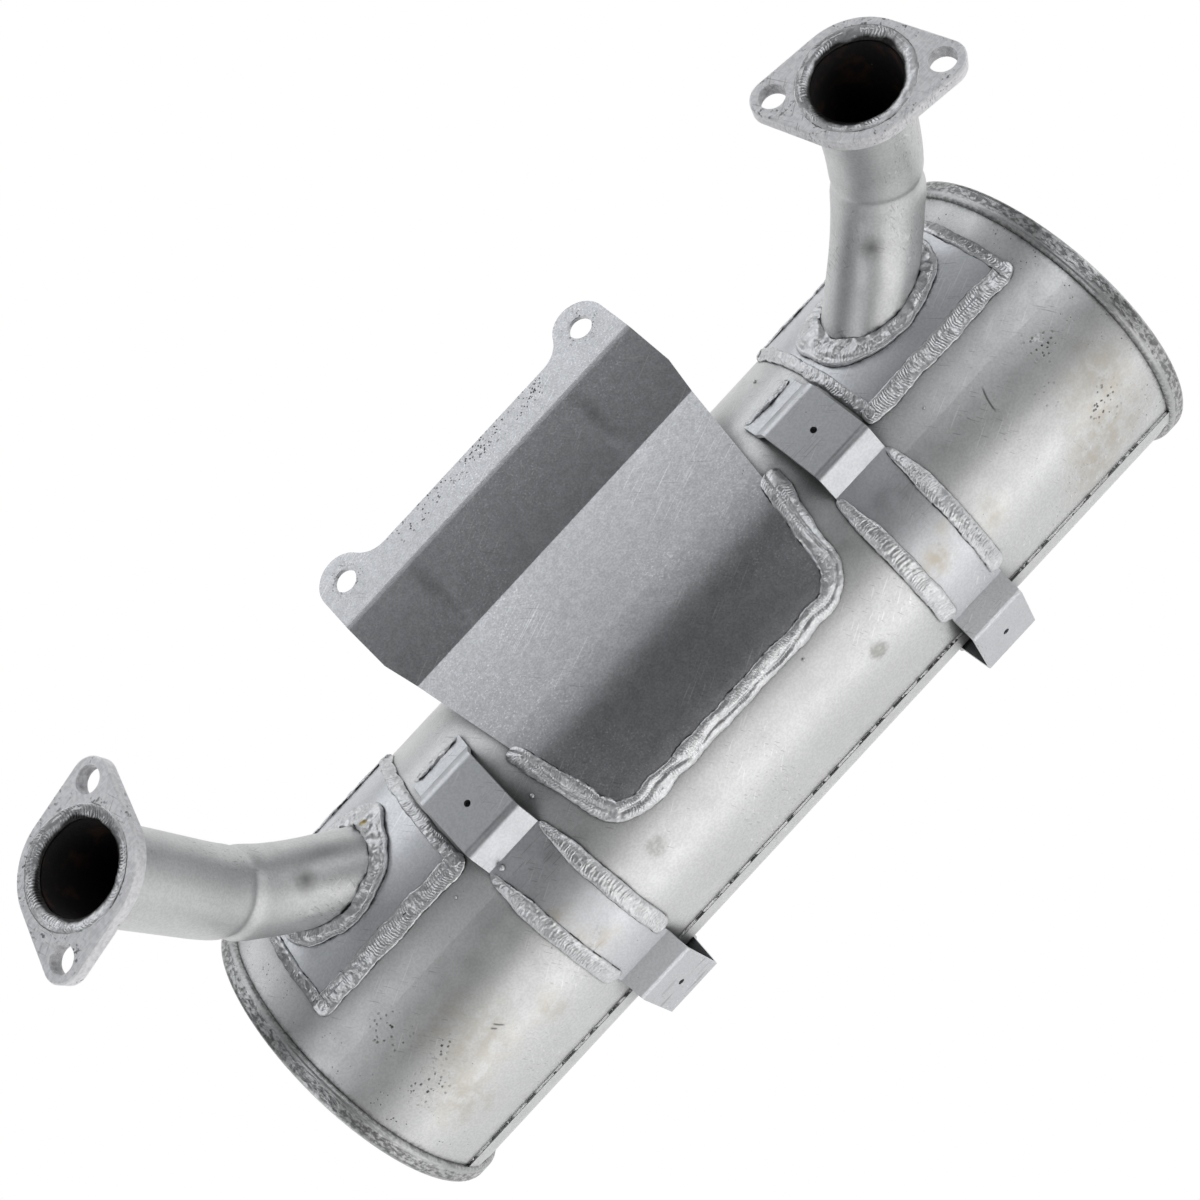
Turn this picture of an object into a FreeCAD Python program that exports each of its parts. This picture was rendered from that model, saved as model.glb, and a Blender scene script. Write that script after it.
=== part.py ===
import FreeCAD, Part
import math
import os

from FreeCAD import Vector

# Twin-inlet muffler: a rolled shell with crimped end caps, two bent inlet pipes on saddle
# plates, a bent sheet bracket and two strap brackets, all welded.
#
# Everything is modelled about the shell: X runs along its axis, and a place on its skin is
# an angle from +Z towards +Y. The last step moves every piece into the part's own frame,
# whose origin is midway between the two bracket bolt holes, with +Z square to the bolt face.
# Sizes are millimetres and degrees.

# Shell and lock seam
shell_radius = 82.5
shell_wall = 1.5
body_length = 486.0
seam_angle = -63.4
seam_width = 12.0
seam_height = 1.2
seam_groove_width = 0.7
seam_groove_depth = 0.6

# End caps with a rolled rim
rim_width = 9.0
rim_height = 2.5
rim_roundness = 0.8
cap_wall = 1.5
cap_recess = 14.0
cap_dome = 9.0
cap_corner = 3.0

# Middle of the bracket, the straps and the saddle plates along the shell
mounting_x = 2.0

# Saddle plates under the inlet pipes. Along the shell each piece keeps its distance from
# the next one out: the saddle plate from the shell's end, the strap from the saddle plate,
# and the bracket from the strap.
saddle_wall = 2.5
saddle_end_gap = 28.0
saddle_length = 83.3
saddle_low_angle = 15.5
saddle_high_angle = 75.0
saddle_weld_width = 7.5
saddle_weld_lap = 2.5
saddle_weld_height = 4.2
saddle_weld_roundness = 0.57

# Inlet pipes
pipe_radius = 20.0
pipe_wall = 1.75
pipe_end_gap = 68.5
pipe_base_angle = 43.0
pipe_reach_inside = 5.0
pipe_weld_width = 7.5
pipe_weld_height = 7.5
pipe_weld_roundness = 0.66

# Flanges: middle of the outer face from the pipe's foot, way the face looks, way the bolt
# line runs, and the depth and radius of the pipe's bend. The engine's cylinders are
# staggered, so the two differ.
flange_places = {
    "right": dict(from_foot=(33.0, 52.43, 97.83), facing=(-0.010, 0.343, 0.939),
                  bolt_line=(0.727, -0.654, 0.209), knee_depth=76.5, bend_radius=84.0),
    "left": dict(from_foot=(-31.5, 60.63, 122.83), facing=(-0.052, 0.405, 0.913),
                 bolt_line=(-0.724, -0.653, 0.223), knee_depth=101.0, bend_radius=108.0),
}
flange_thickness = 6.4
flange_bolt_spacing = 65.0
flange_hole_radius = 5.6
flange_tip_radius = 9.0
flange_hub_radius = 27.5
flange_edge_break = 0.6
flange_mouth_chamfer = 1.8
flange_weld_crown_depth = 0.9
flange_weld_lean = 0.6
pipe_end_recess = 2.6

# Bracket: one sheet, saddle-shaped at its welded end
bracket_sheet = 2.5
bracket_low_angle = -12.5
bracket_leave_angle = 30.0
bracket_wide_face = 56.0
bracket_middle_face = 45.0
bracket_middle_slope = -12.0
bracket_strip_slope = -28.0
bracket_bend_radius = 4.0
bracket_strap_gap = 21.2
bracket_taper_width = 24.0
bracket_kink_from_bend = 19.5
bracket_toe_taper_start = 3.0
bracket_corner_radius = 17.0
bracket_hole_inset = 20.8
bracket_hole_radius = 6.2
bracket_ear_radius = 14.5
bracket_neck_depth = 19.8
bracket_neck_radius = 16.0
bracket_weld_width = 10.0
bracket_weld_lap = 4.0
bracket_weld_height = 5.2
bracket_weld_roundness = 0.48
bracket_weld_top_angle = 27.0

# Straps: a hat at each end and a long part on the shell
strap_saddle_gap = 7.5
strap_width = 30.5
strap_sheet = 2.0
strap_hat_height = 9.0
strap_second_hat_lift = 6.0
strap_hat_fold_angle = 20.0
strap_hat_ramp_angle = 6.5
strap_foot_angle = 6.5
strap_hat_far_angle = 12.5
strap_seam_clear_angle = 4.0
strap_bend_radius = 2.5
strap_pilot_radius = 1.6
strap_weld_radius = 4.4
strap_weld_sink = 0.6
strap_weld_top_gap_angle = 1.5
strap_weld_low_gap_angle = 2.9
strap_foot_weld_radius = 2.8
strap_foot_weld_inset = 1.0

# Inside: baffles and perforated tubes
end_chamber_length = 173.0
baffle_wall = 1.5
baffle_lip = 8.0
baffle_vent_radius = 9.0
baffle_vent_count = 4
baffle_vent_circle = 58.0
inner_tube_radius = 22.0
inner_tube_wall = 1.2
inner_tube_length = 96.0
inner_tube_overhang = 18.0
perforation_radius = 3.5
perforation_pitch = 11.2
perforation_start = 13.4
perforation_rows = 3
perforation_per_row = 6

# Outlet pipe on the hidden side
outlet_x = 0.0
outlet_radius = 19.05
outlet_wall = 1.5
outlet_stub = 38.0
outlet_reach_inside = 14.0
outlet_weld_width = 5.0
outlet_weld_height = 5.0
outlet_weld_roundness = 0.8

# Values that follow from the sizes above
half_body = body_length / 2.0
shell_half_length = half_body - cap_wall
inner_shell_radius = shell_radius - shell_wall
saddle_radius = shell_radius + saddle_wall
saddle_outer_x = half_body - saddle_end_gap
saddle_inner_x = saddle_outer_x - saddle_length
strap_outer_x = saddle_inner_x - strap_saddle_gap
strap_inner_x = strap_outer_x - strap_width
bracket_toe_half_width = strap_inner_x - bracket_strap_gap
bracket_half_width = bracket_toe_half_width + bracket_taper_width
bracket_hole_half_spacing = bracket_half_width - bracket_ear_radius
pipe_base_x = half_body - pipe_end_gap
baffle_x = half_body - end_chamber_length
hat_radius = shell_radius + strap_hat_height
outlet_angle = 180.0 - bracket_strip_slope
SIDES = {"right": 1, "left": -1}
X_AXIS = Vector(1, 0, 0)
OVERSIZE = 4.0
OVERSIZE_ANGLE = 20.0


def skin_point(x, angle, radius):
    """A point at a radius from the shell's axis."""
    turn = math.radians(angle)
    return Vector(x, radius * math.sin(turn), radius * math.cos(turn))


def outward(angle):
    return skin_point(0, angle, 1.0)


def along_skin(angle):
    """The way a sheet runs when it leaves the shell at an angle, towards +Y."""
    turn = math.radians(angle)
    return Vector(0, math.cos(turn), -math.sin(turn))


def slope_way(slope):
    """A direction in the YZ plane that rises by a slope, towards +Y."""
    turn = math.radians(slope)
    return Vector(0, math.cos(turn), math.sin(turn))


def cylinder_x(radius, length, x_start):
    return Part.makeCylinder(radius, length, Vector(x_start, 0, 0), X_AXIS)


def revolved_x(profile, start_angle, end_angle):
    """Turns a face, drawn in the XZ plane at angle 0, about X from one angle to another."""
    face = profile.copy()
    face.rotate(Vector(0, 0, 0), X_AXIS, -start_angle)
    return face.revolve(Vector(0, 0, 0), X_AXIS, start_angle - end_angle)


def ring_sector(x_low, x_high, r_low, r_high, start_angle, end_angle):
    corners = [Vector(x_low, 0, r_low), Vector(x_high, 0, r_low),
               Vector(x_high, 0, r_high), Vector(x_low, 0, r_high)]
    wire = Part.makePolygon(corners + corners[:1])
    return revolved_x(Part.Face(wire), start_angle, end_angle)


def ring_bead(x, radius, bead_radius, start_angle, end_angle):
    """A round bead that follows the shell round its axis, with rounded ends."""
    circle = Part.Wire(Part.Circle(Vector(x, 0, radius), Vector(0, 1, 0), bead_radius).toShape())
    bead = revolved_x(Part.Face(circle), start_angle, end_angle)
    ends = [Part.makeSphere(bead_radius, skin_point(x, a, radius)) for a in (start_angle, end_angle)]
    return bead.fuse(ends).removeSplitter()


def line_bead(x_low, x_high, angle, radius, bead_radius):
    start = skin_point(x_low, angle, radius)
    return Part.makeCylinder(bead_radius, x_high - x_low, start, X_AXIS)


def filleted_path(points, radii):
    """A wire through points, with an arc of the given radius at each inner point."""
    edges = []
    previous = points[0]
    for before, corner, after, radius in zip(points, points[1:], points[2:], radii):
        back = (before - corner).normalize()
        ahead = (after - corner).normalize()
        half = 0.5 * back.getAngle(ahead)
        reach = radius / math.tan(half)
        first = corner + back * reach
        last = corner + ahead * reach
        middle_way = (back + ahead).normalize()
        center = corner + middle_way * (radius / math.sin(half))
        edges.append(Part.makeLine(previous, first))
        edges.append(Part.Arc(first, center - middle_way * radius, last).toShape())
        previous = last
    edges.append(Part.makeLine(previous, points[-1]))
    return edges


def largest_solid(shape):
    return max(shape.Solids, key=lambda solid: solid.Volume)


def on_mounting_middle(shape):
    moved = shape.copy()
    moved.translate(Vector(mounting_x, 0, 0))
    return moved


# Frame of the finished part

def bracket_corners():
    """Inner-face corners of the bracket's folds, in the YZ plane, from the shell outwards."""
    leave = skin_point(0, bracket_leave_angle, shell_radius)
    bend_two = leave + along_skin(bracket_leave_angle) * bracket_wide_face
    bend_one = bend_two + slope_way(bracket_middle_slope) * bracket_middle_face
    return leave, bend_two, bend_one


def strip_frame():
    """Fold corner on the bolt face, way out along the strip, and normal of the bolt face."""
    bend_one = bracket_corners()[2]
    way = slope_way(bracket_strip_slope)
    normal = Vector(0, -way.z, way.y)
    return bend_one + normal * bracket_sheet, way, normal


def bolt_face_center():
    corner, way, _ = strip_frame()
    return Vector(mounting_x, 0, 0) + corner + way * bracket_hole_inset


def in_part_frame(shape):
    moved = shape.copy()
    moved.translate(bolt_face_center() * -1)
    moved.rotate(Vector(0, 0, 0), X_AXIS, -bracket_strip_slope)
    return moved


# Shell and end caps

def make_shell(openings):
    tube = cylinder_x(shell_radius, 2 * shell_half_length, -shell_half_length)
    seam_end = seam_angle - math.degrees(seam_width / shell_radius)
    groove_turn = math.degrees(seam_groove_width / shell_radius)
    seam_reach = half_body - rim_width
    seam = ring_sector(-seam_reach, seam_reach, shell_radius - shell_wall / 2.0,
                       shell_radius + seam_height, seam_angle, seam_end)
    groove = ring_sector(-seam_reach, seam_reach, shell_radius - seam_groove_depth,
                         shell_radius + seam_height + OVERSIZE, seam_angle,
                         seam_angle - groove_turn)
    bore = cylinder_x(inner_shell_radius, body_length, -half_body)
    shell = tube.fuse(seam).cut(groove).cut(bore)
    return largest_solid(shell.cut(openings).removeSplitter())


def make_end_cap(side):
    """The cap's sheet goes round the shell's edge, down inside it, and across as a dish."""
    rim_radius = shell_radius + rim_height
    inner_leg = inner_shell_radius - cap_wall
    leg_end = half_body - cap_recess
    inboard = half_body - rim_width
    outline = [Vector(inboard, 0, shell_radius), Vector(inboard, 0, rim_radius),
               Vector(half_body, 0, rim_radius), Vector(half_body, 0, inner_leg),
               Vector(leg_end + cap_wall, 0, inner_leg), Vector(leg_end, 0, inner_leg),
               Vector(leg_end, 0, inner_shell_radius),
               Vector(shell_half_length, 0, inner_shell_radius),
               Vector(shell_half_length, 0, shell_radius)]
    rim_face = Part.Face(Part.makePolygon(outline + outline[:1]))
    rim = rim_face.revolve(Vector(0, 0, 0), X_AXIS, 360)
    rolled = [edge for edge in rim.Edges
              if abs(edge.BoundBox.ZMax - rim_radius) < 0.01 and edge.BoundBox.XLength < 0.01]
    rim = rim.makeFillet(rim_roundness * rim_height, rolled)
    # The dish is a slice of a ball shell whose crown stands out by cap_dome
    ball = (inner_leg ** 2 + cap_dome ** 2) / (2.0 * cap_dome)
    ball_center = Vector(leg_end + cap_dome - ball, 0, 0)
    outer_ball = Part.makeSphere(ball + cap_wall, ball_center)
    dish = outer_ball.cut(Part.makeSphere(ball, ball_center))
    slice_x = cylinder_x(inner_leg, cap_dome + cap_wall + OVERSIZE, leg_end)
    dish = largest_solid(dish.common(slice_x))
    cap = largest_solid(rim.fuse(dish).removeSplitter())
    return cap if side > 0 else cap.mirror(Vector(0, 0, 0), X_AXIS)


# Inlet pipes and their flanges

def pipe_foot(name):
    return skin_point(SIDES[name] * pipe_base_x, pipe_base_angle, saddle_radius)


def flange_vectors(name):
    place = flange_places[name]
    center = pipe_foot(name) + Vector(*place["from_foot"])
    facing = Vector(*place["facing"]).normalize()
    bolt_line = Vector(*place["bolt_line"])
    bolt_line = (bolt_line - facing * bolt_line.dot(facing)).normalize()
    return center, facing, bolt_line


def pipe_route(name):
    """End in the flange, knee of the bend, and middle of the foot on the saddle plate."""
    center, facing, _ = flange_vectors(name)
    knee = center - facing * flange_places[name]["knee_depth"]
    return center - facing * pipe_end_recess, knee, pipe_foot(name)


def pipe_rod(name, radius):
    """A solid rod along a pipe's route, carried on into the shell."""
    end, knee, foot = pipe_route(name)
    inward = (foot - knee).normalize()
    reach = 2.0 * pipe_radius + pipe_reach_inside
    corners = [end, knee, foot + inward * reach]
    path = Part.Wire(filleted_path(corners, [flange_places[name]["bend_radius"]]))
    circle = Part.Wire(Part.Circle(end, knee - end, radius).toShape())
    return path.makePipeShell([circle], True, False)


def make_pipe(name):
    tube = pipe_rod(name, pipe_radius).cut(pipe_rod(name, pipe_radius - pipe_wall))
    inside = inner_shell_radius - pipe_reach_inside
    return largest_solid(tube.cut(cylinder_x(inside, body_length, -half_body)))


def weld_collar(foot, rise, rod_radius, skin_radius, width, height, roundness):
    """A rounded ring where a rod leaves a round skin."""
    reach = 2.0 * (rod_radius + width)
    ring = rod_along(foot - rise * reach, rise, rod_radius + width, 2.0 * reach)
    top_radius = skin_radius + height
    ring = ring.common(cylinder_x(top_radius, body_length, -half_body))
    ring = largest_solid(ring.cut(cylinder_x(skin_radius, body_length, -half_body)))
    top = [edge for edge in ring.Edges if edge_on_skin(edge, top_radius)]
    return ring.makeFillet(roundness * height, top)


def edge_on_skin(edge, radius):
    middle = edge.valueAt(0.5 * (edge.FirstParameter + edge.LastParameter))
    start = edge.valueAt(edge.FirstParameter)
    return all(abs(math.hypot(spot.y, spot.z) - radius) < 0.01 for spot in (start, middle))


def make_pipe_weld(name, pipe_solid):
    _, knee, foot = pipe_route(name)
    rise = (knee - foot).normalize()
    collar = weld_collar(foot, rise, pipe_radius, saddle_radius, pipe_weld_width,
                         pipe_weld_height, pipe_weld_roundness)
    return largest_solid(collar.cut(pipe_solid))


def rod_along(start, way, radius, length):
    return Part.makeCylinder(radius, length, start, way)


def make_flange(name):
    """Three round bosses joined by their tangent lines: the hub and the two bolt tips."""
    center, facing, bolt_line = flange_vectors(name)
    back = center - facing * flange_thickness
    reach = flange_bolt_spacing / 2.0
    lean = math.asin((flange_hub_radius - flange_tip_radius) / reach)
    aside = facing.cross(bolt_line)
    plate = rod_along(back, facing, flange_hub_radius, flange_thickness)
    tangent_points = []
    for end, flip in ((1, 1), (-1, 1), (-1, -1), (1, -1)):
        way = bolt_line * (end * math.sin(lean)) + aside * (flip * math.cos(lean))
        tip = back + bolt_line * (end * reach)
        hub_point = back + way * flange_hub_radius
        tip_point = tip + way * flange_tip_radius
        tangent_points += [tip_point, hub_point] if end == flip else [hub_point, tip_point]
    tangent_points.append(tangent_points[0])
    web = Part.Face(Part.makePolygon(tangent_points)).extrude(facing * flange_thickness)
    tips = [rod_along(back + bolt_line * (end * reach), facing, flange_tip_radius,
                      flange_thickness) for end in (1, -1)]
    plate = plate.fuse([web] + tips).removeSplitter()
    rim = [edge for edge in plate.Edges
           if abs((edge.CenterOfMass - center).dot(facing)) < 0.01
           or abs((edge.CenterOfMass - back).dot(facing)) < 0.01]
    plate = plate.makeChamfer(flange_edge_break, rim)
    below = back - facing * OVERSIZE
    depth = flange_thickness + 2.0 * OVERSIZE
    holes = [rod_along(below + bolt_line * (end * reach), facing, flange_hole_radius, depth)
             for end in (1, -1)]
    bore = rod_along(below, facing, pipe_radius, depth)
    mouth = Part.makeCone(pipe_radius, pipe_radius + flange_mouth_chamfer, flange_mouth_chamfer,
                          center - facing * flange_mouth_chamfer, facing)
    return largest_solid(plate.cut(holes + [bore, mouth]))


def make_flange_weld(name):
    """The ring that fills the mouth of the flange's bore, over the pipe's end."""
    center, facing, bolt_line = flange_vectors(name)
    inner = pipe_radius - pipe_wall
    root = center - facing * pipe_end_recess
    crown = center - facing * flange_weld_crown_depth
    corners = [root + bolt_line * inner,
               crown + bolt_line * (inner + flange_weld_lean),
               center + bolt_line * (pipe_radius + flange_weld_lean),
               center + bolt_line * (pipe_radius + flange_mouth_chamfer),
               center - facing * flange_mouth_chamfer + bolt_line * pipe_radius,
               root + bolt_line * pipe_radius]
    face = Part.Face(Part.makePolygon(corners + corners[:1]))
    return face.revolve(center, facing, 360)


# Saddle plates

def saddle_x(side):
    low = mounting_x + min(side * saddle_inner_x, side * saddle_outer_x)
    return low, low + saddle_outer_x - saddle_inner_x


def make_saddle(side, pipe_solid):
    low, high = saddle_x(side)
    plate = ring_sector(low, high, shell_radius, saddle_radius, saddle_low_angle, saddle_high_angle)
    return largest_solid(plate.cut(pipe_solid))


def make_saddle_weld(side, saddle, pipe_weld):
    """A rounded frame over the plate's edge, lapping onto the plate and onto the shell."""
    low, high = saddle_x(side)
    crown = shell_radius + saddle_weld_height
    lap = saddle_weld_lap
    lap_turn = math.degrees(lap / shell_radius)
    out = saddle_weld_width - lap
    out_turn = math.degrees(out / shell_radius)
    outer = ring_sector(low - out, high + out, shell_radius, crown,
                        saddle_low_angle - out_turn, saddle_high_angle + out_turn)
    inner = ring_sector(low + lap, high - lap, shell_radius - OVERSIZE, crown + OVERSIZE,
                        saddle_low_angle + lap_turn, saddle_high_angle - lap_turn)
    frame = outer.cut(inner)
    frame = frame.makeFillet(saddle_weld_roundness * saddle_weld_height,
                             [edge for edge in frame.Edges if edge_on_skin(edge, crown)])
    return largest_solid(frame.cut([saddle, pipe_weld]))


# Bracket

def bracket_profile():
    """The inner face of the folded sheet seen along X."""
    leave, bend_two, bend_one = bracket_corners()
    strip_way = slope_way(bracket_strip_slope)
    strip_length = bracket_hole_inset + bracket_ear_radius + OVERSIZE
    strip_end = bend_one + strip_way * strip_length
    toe = skin_point(0, bracket_low_angle, shell_radius)
    middle = skin_point(0, 0.5 * (bracket_low_angle + bracket_leave_angle), shell_radius)
    edges = [Part.Arc(toe, middle, leave).toShape()]
    edges += filleted_path([leave, bend_two, bend_one, strip_end],
                           [bracket_bend_radius, bracket_bend_radius + bracket_sheet])
    return Part.Wire(edges)


def bracket_toe_outline(grow, top_y):
    """The tapered sides and rounded toe seen from above, grown outwards, as a tall solid."""
    toe_y = skin_point(0, bracket_low_angle, shell_radius).y
    side_x = [bracket_edge_half_width(y) + grow for y in (top_y, toe_y - grow)]
    corners = [Vector(-side_x[0], top_y, 0), Vector(-side_x[1], toe_y - grow, 0),
               Vector(side_x[1], toe_y - grow, 0), Vector(side_x[0], top_y, 0)]
    edges = filleted_path(corners, [bracket_corner_radius + grow] * 2)
    edges.append(Part.makeLine(corners[-1], corners[0]))
    return Part.Face(Part.Wire(edges)).extrude(Vector(0, 0, 3.0 * shell_radius))


def bracket_kink_y():
    bend_two = bracket_corners()[1]
    return bend_two.y + slope_way(bracket_middle_slope).y * bracket_kink_from_bend


def bracket_outline_cutter():
    """What lies outside the tapered sides and the rounded toe."""
    wide = bracket_half_width
    kink_y = bracket_kink_y()
    block = Part.makeBox(2.0 * (wide + OVERSIZE), kink_y + shell_radius, 3.0 * shell_radius,
                         Vector(-wide - OVERSIZE, -shell_radius, 0))
    return block.cut(bracket_toe_outline(0.0, kink_y))


def strip_point(x, out, up=0.0):
    corner, way, normal = strip_frame()
    return Vector(x, 0, 0) + corner + way * out + normal * up


def bracket_ear_cutter():
    """What lies between and outside the two ears, square to the bolt face."""
    normal = strip_frame()[2]
    down = -bracket_sheet - OVERSIZE
    hole_x = bracket_hole_half_spacing
    tip = bracket_hole_inset + bracket_ear_radius + 2.0 * OVERSIZE
    # The concave corner is round, and touches the straight edge and the ear
    drop = bracket_neck_depth + bracket_neck_radius - bracket_hole_inset
    shift = math.sqrt((bracket_ear_radius + bracket_neck_radius) ** 2 - drop ** 2)
    neck_x = hole_x - shift
    share = bracket_ear_radius / (bracket_ear_radius + bracket_neck_radius)
    touch = strip_point(hole_x - shift * share, bracket_hole_inset + drop * share, down)
    start = strip_point(neck_x, bracket_neck_depth, down)
    neck_center = strip_point(neck_x, bracket_neck_depth + bracket_neck_radius, down)
    arc_way = ((start + touch) * 0.5 - neck_center).normalize()
    neck = Part.Arc(start, neck_center + arc_way * bracket_neck_radius, touch)
    crown = strip_point(hole_x, bracket_hole_inset + bracket_ear_radius, down)
    ear_center = strip_point(hole_x, bracket_hole_inset, down)
    ear_way = ((touch + crown) * 0.5 - ear_center).normalize()
    ear = Part.Arc(touch, ear_center + ear_way * bracket_ear_radius, crown)
    side = strip_point(hole_x + bracket_ear_radius, bracket_hole_inset, down)
    side_way = ((crown + side) * 0.5 - ear_center).normalize()
    shoulder = Part.Arc(crown, ear_center + side_way * bracket_ear_radius, side)
    wide = bracket_half_width + 2.0 * OVERSIZE
    edges = [Part.makeLine(strip_point(0, tip, down), strip_point(0, bracket_neck_depth, down)),
             Part.makeLine(strip_point(0, bracket_neck_depth, down), start),
             neck.toShape(), ear.toShape(), shoulder.toShape(),
             Part.makeLine(side, strip_point(wide, bracket_hole_inset, down)),
             Part.makeLine(strip_point(wide, bracket_hole_inset, down), strip_point(wide, tip, down)),
             Part.makeLine(strip_point(wide, tip, down), strip_point(0, tip, down))]
    face = Part.Face(Part.Wire(edges))
    right = face.extrude(normal * (bracket_sheet + 2.0 * OVERSIZE))
    return [right, right.mirror(Vector(0, 0, 0), X_AXIS)]


def make_bracket():
    face = bracket_profile().makeOffset2D(-bracket_sheet, 0, True, True, False)
    sheet = face.extrude(Vector(2.0 * bracket_half_width, 0, 0))
    sheet.translate(Vector(-bracket_half_width, 0, 0))
    normal = strip_frame()[2]
    holes = [rod_along(strip_point(x, bracket_hole_inset, -bracket_sheet - OVERSIZE), normal,
                       bracket_hole_radius, bracket_sheet + 2.0 * OVERSIZE)
             for x in (-bracket_hole_half_spacing, bracket_hole_half_spacing)]
    cut = sheet.cut([bracket_outline_cutter()] + bracket_ear_cutter() + holes)
    return largest_solid(cut)


def bracket_edge_half_width(y):
    """Half the bracket's width at a place on its tapered side."""
    taper = (bracket_half_width - bracket_toe_half_width) / (
        bracket_kink_y() - bracket_toe_taper_start)
    return bracket_toe_half_width + taper * (y - bracket_toe_taper_start)


def make_bracket_weld(bracket):
    """A bead down one side of the bracket, round its toe and up the other."""
    top_y = skin_point(0, bracket_weld_top_angle, shell_radius).y
    crown = shell_radius + bracket_weld_height
    band = bracket_toe_outline(bracket_weld_width - bracket_weld_lap, top_y)
    band = band.cut(bracket_toe_outline(-bracket_weld_lap, top_y + OVERSIZE))
    layer = ring_sector(-half_body, half_body, shell_radius, crown,
                        bracket_low_angle - OVERSIZE_ANGLE, bracket_leave_angle + OVERSIZE_ANGLE)
    bead = largest_solid(band.common(layer))
    bead = bead.makeFillet(bracket_weld_roundness * bracket_weld_height,
                           [edge for edge in bead.Edges if edge_on_skin(edge, crown)])
    return largest_solid(bead.cut(bracket))


# Straps

def hat_folds(far_angle, lift=0.0):
    """Shell-side corners of a hat, from its higher foot to its lower one."""
    fold = far_angle + strap_hat_fold_angle
    ramp = strap_hat_ramp_angle
    return [(fold + ramp, shell_radius), (fold, hat_radius),
            (far_angle, hat_radius + lift), (far_angle - ramp, shell_radius)]


def hat_far_angles():
    """Far edge of the first hat's top, and of the second's, which clears the seam."""
    return strap_hat_far_angle, seam_angle + strap_seam_clear_angle - strap_hat_fold_angle


def strap_folds():
    first, second = hat_far_angles()
    return hat_folds(first), hat_folds(second, strap_second_hat_lift)


def make_strap_profile():
    """The strap seen along X: foot, hat, long part, second hat and foot."""
    first, second = strap_folds()
    stretches = [(first[0][0] + strap_foot_angle, first[0][0]),
                 (first[3][0], second[0][0]),
                 (second[3][0], second[3][0] - strap_foot_angle)]
    edges = []
    for index, (start, end) in enumerate(stretches):
        edges.append(Part.Arc(skin_point(0, start, shell_radius),
                              skin_point(0, 0.5 * (start + end), shell_radius),
                              skin_point(0, end, shell_radius)).toShape())
        if index < 2:
            folds = (first, second)[index]
            corners = [skin_point(0, angle, radius) for angle, radius in folds]
            edges += filleted_path(corners, [strap_bend_radius, strap_bend_radius])
    return Part.Wire(edges)


def make_strap(side):
    face = make_strap_profile().makeOffset2D(strap_sheet, 0, True, True, False)
    strap = face.extrude(Vector(strap_width, 0, 0))
    strap.translate(Vector(strap_inner_x, 0, 0))
    pilots = []
    for far_angle in hat_far_angles():
        middle = far_angle + 0.5 * strap_hat_fold_angle
        start = skin_point(strap_inner_x + 0.5 * strap_width, middle, shell_radius)
        pilots.append(rod_along(start, outward(middle), strap_pilot_radius,
                                strap_hat_height + 2.0 * strap_sheet))
    strap = largest_solid(strap.cut(pilots))
    return strap if side > 0 else strap.mirror(Vector(0, 0, 0), X_AXIS)


def make_strap_welds(side, strap, shell_core):
    """A bead along each edge of the long part, and one across each foot."""
    first, second = strap_folds()
    start = first[3][0] - strap_weld_top_gap_angle
    end = second[0][0] + strap_weld_low_gap_angle
    beads = {}
    for place, x in (("inner", strap_inner_x), ("outer", strap_outer_x)):
        beads[place] = ring_bead(x, shell_radius - strap_weld_sink, strap_weld_radius, start, end)
    for place, angle in (("top", first[0][0] + strap_foot_angle),
                         ("bottom", second[3][0] - strap_foot_angle)):
        beads[place] = line_bead(strap_inner_x + strap_foot_weld_inset,
                                 strap_outer_x - strap_foot_weld_inset, angle,
                                 shell_radius, strap_foot_weld_radius)
    if side < 0:
        beads = {place: bead.mirror(Vector(0, 0, 0), X_AXIS) for place, bead in beads.items()}
    return {place: largest_solid(bead.cut([shell_core, strap])) for place, bead in beads.items()}


# Inside pieces

def make_baffle(side):
    """A flanged disc, with vents round its middle hole."""
    x = side * baffle_x
    back = min(x, x + side * baffle_lip)
    disc = cylinder_x(inner_shell_radius, baffle_lip, back)
    hollow_start = back + baffle_wall if side > 0 else back - baffle_wall
    disc = disc.cut(cylinder_x(inner_shell_radius - baffle_wall, baffle_lip, hollow_start))
    cuts = [cylinder_x(inner_tube_radius, 2 * baffle_lip, x - baffle_lip)]
    for step in range(baffle_vent_count):
        spot = skin_point(x - baffle_lip, 360.0 * step / baffle_vent_count, baffle_vent_circle)
        cuts.append(rod_along(spot, X_AXIS, baffle_vent_radius, 2 * baffle_lip))
    return largest_solid(disc.cut(cuts))


def make_inner_tube(side):
    """A perforated tube through each baffle, open at both ends."""
    start = side * (baffle_x - inner_tube_overhang)
    low = min(start, start + side * inner_tube_length)
    tube = cylinder_x(inner_tube_radius, inner_tube_length, low)
    tube = tube.cut(cylinder_x(inner_tube_radius - inner_tube_wall, inner_tube_length, low))
    drills = []
    for row in range(perforation_rows):
        x = side * (baffle_x + baffle_lip + perforation_start + row * perforation_pitch)
        for step in range(perforation_per_row):
            angle = 360.0 * (step + 0.5 * (row % 2)) / perforation_per_row
            drills.append(rod_along(Vector(x, 0, 0), outward(angle), perforation_radius,
                                    inner_tube_radius + OVERSIZE))
    return largest_solid(tube.cut(drills))


# Outlet

def outlet_rod(radius, low, high):
    way = outward(outlet_angle)
    return rod_along(Vector(outlet_x, 0, 0) + way * low, way, radius, high - low)


def make_outlet_pipe():
    low = inner_shell_radius - outlet_reach_inside
    high = shell_radius + outlet_stub
    tube = outlet_rod(outlet_radius, low, high)
    return tube.cut(outlet_rod(outlet_radius - outlet_wall, low - OVERSIZE, high + OVERSIZE))


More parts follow.
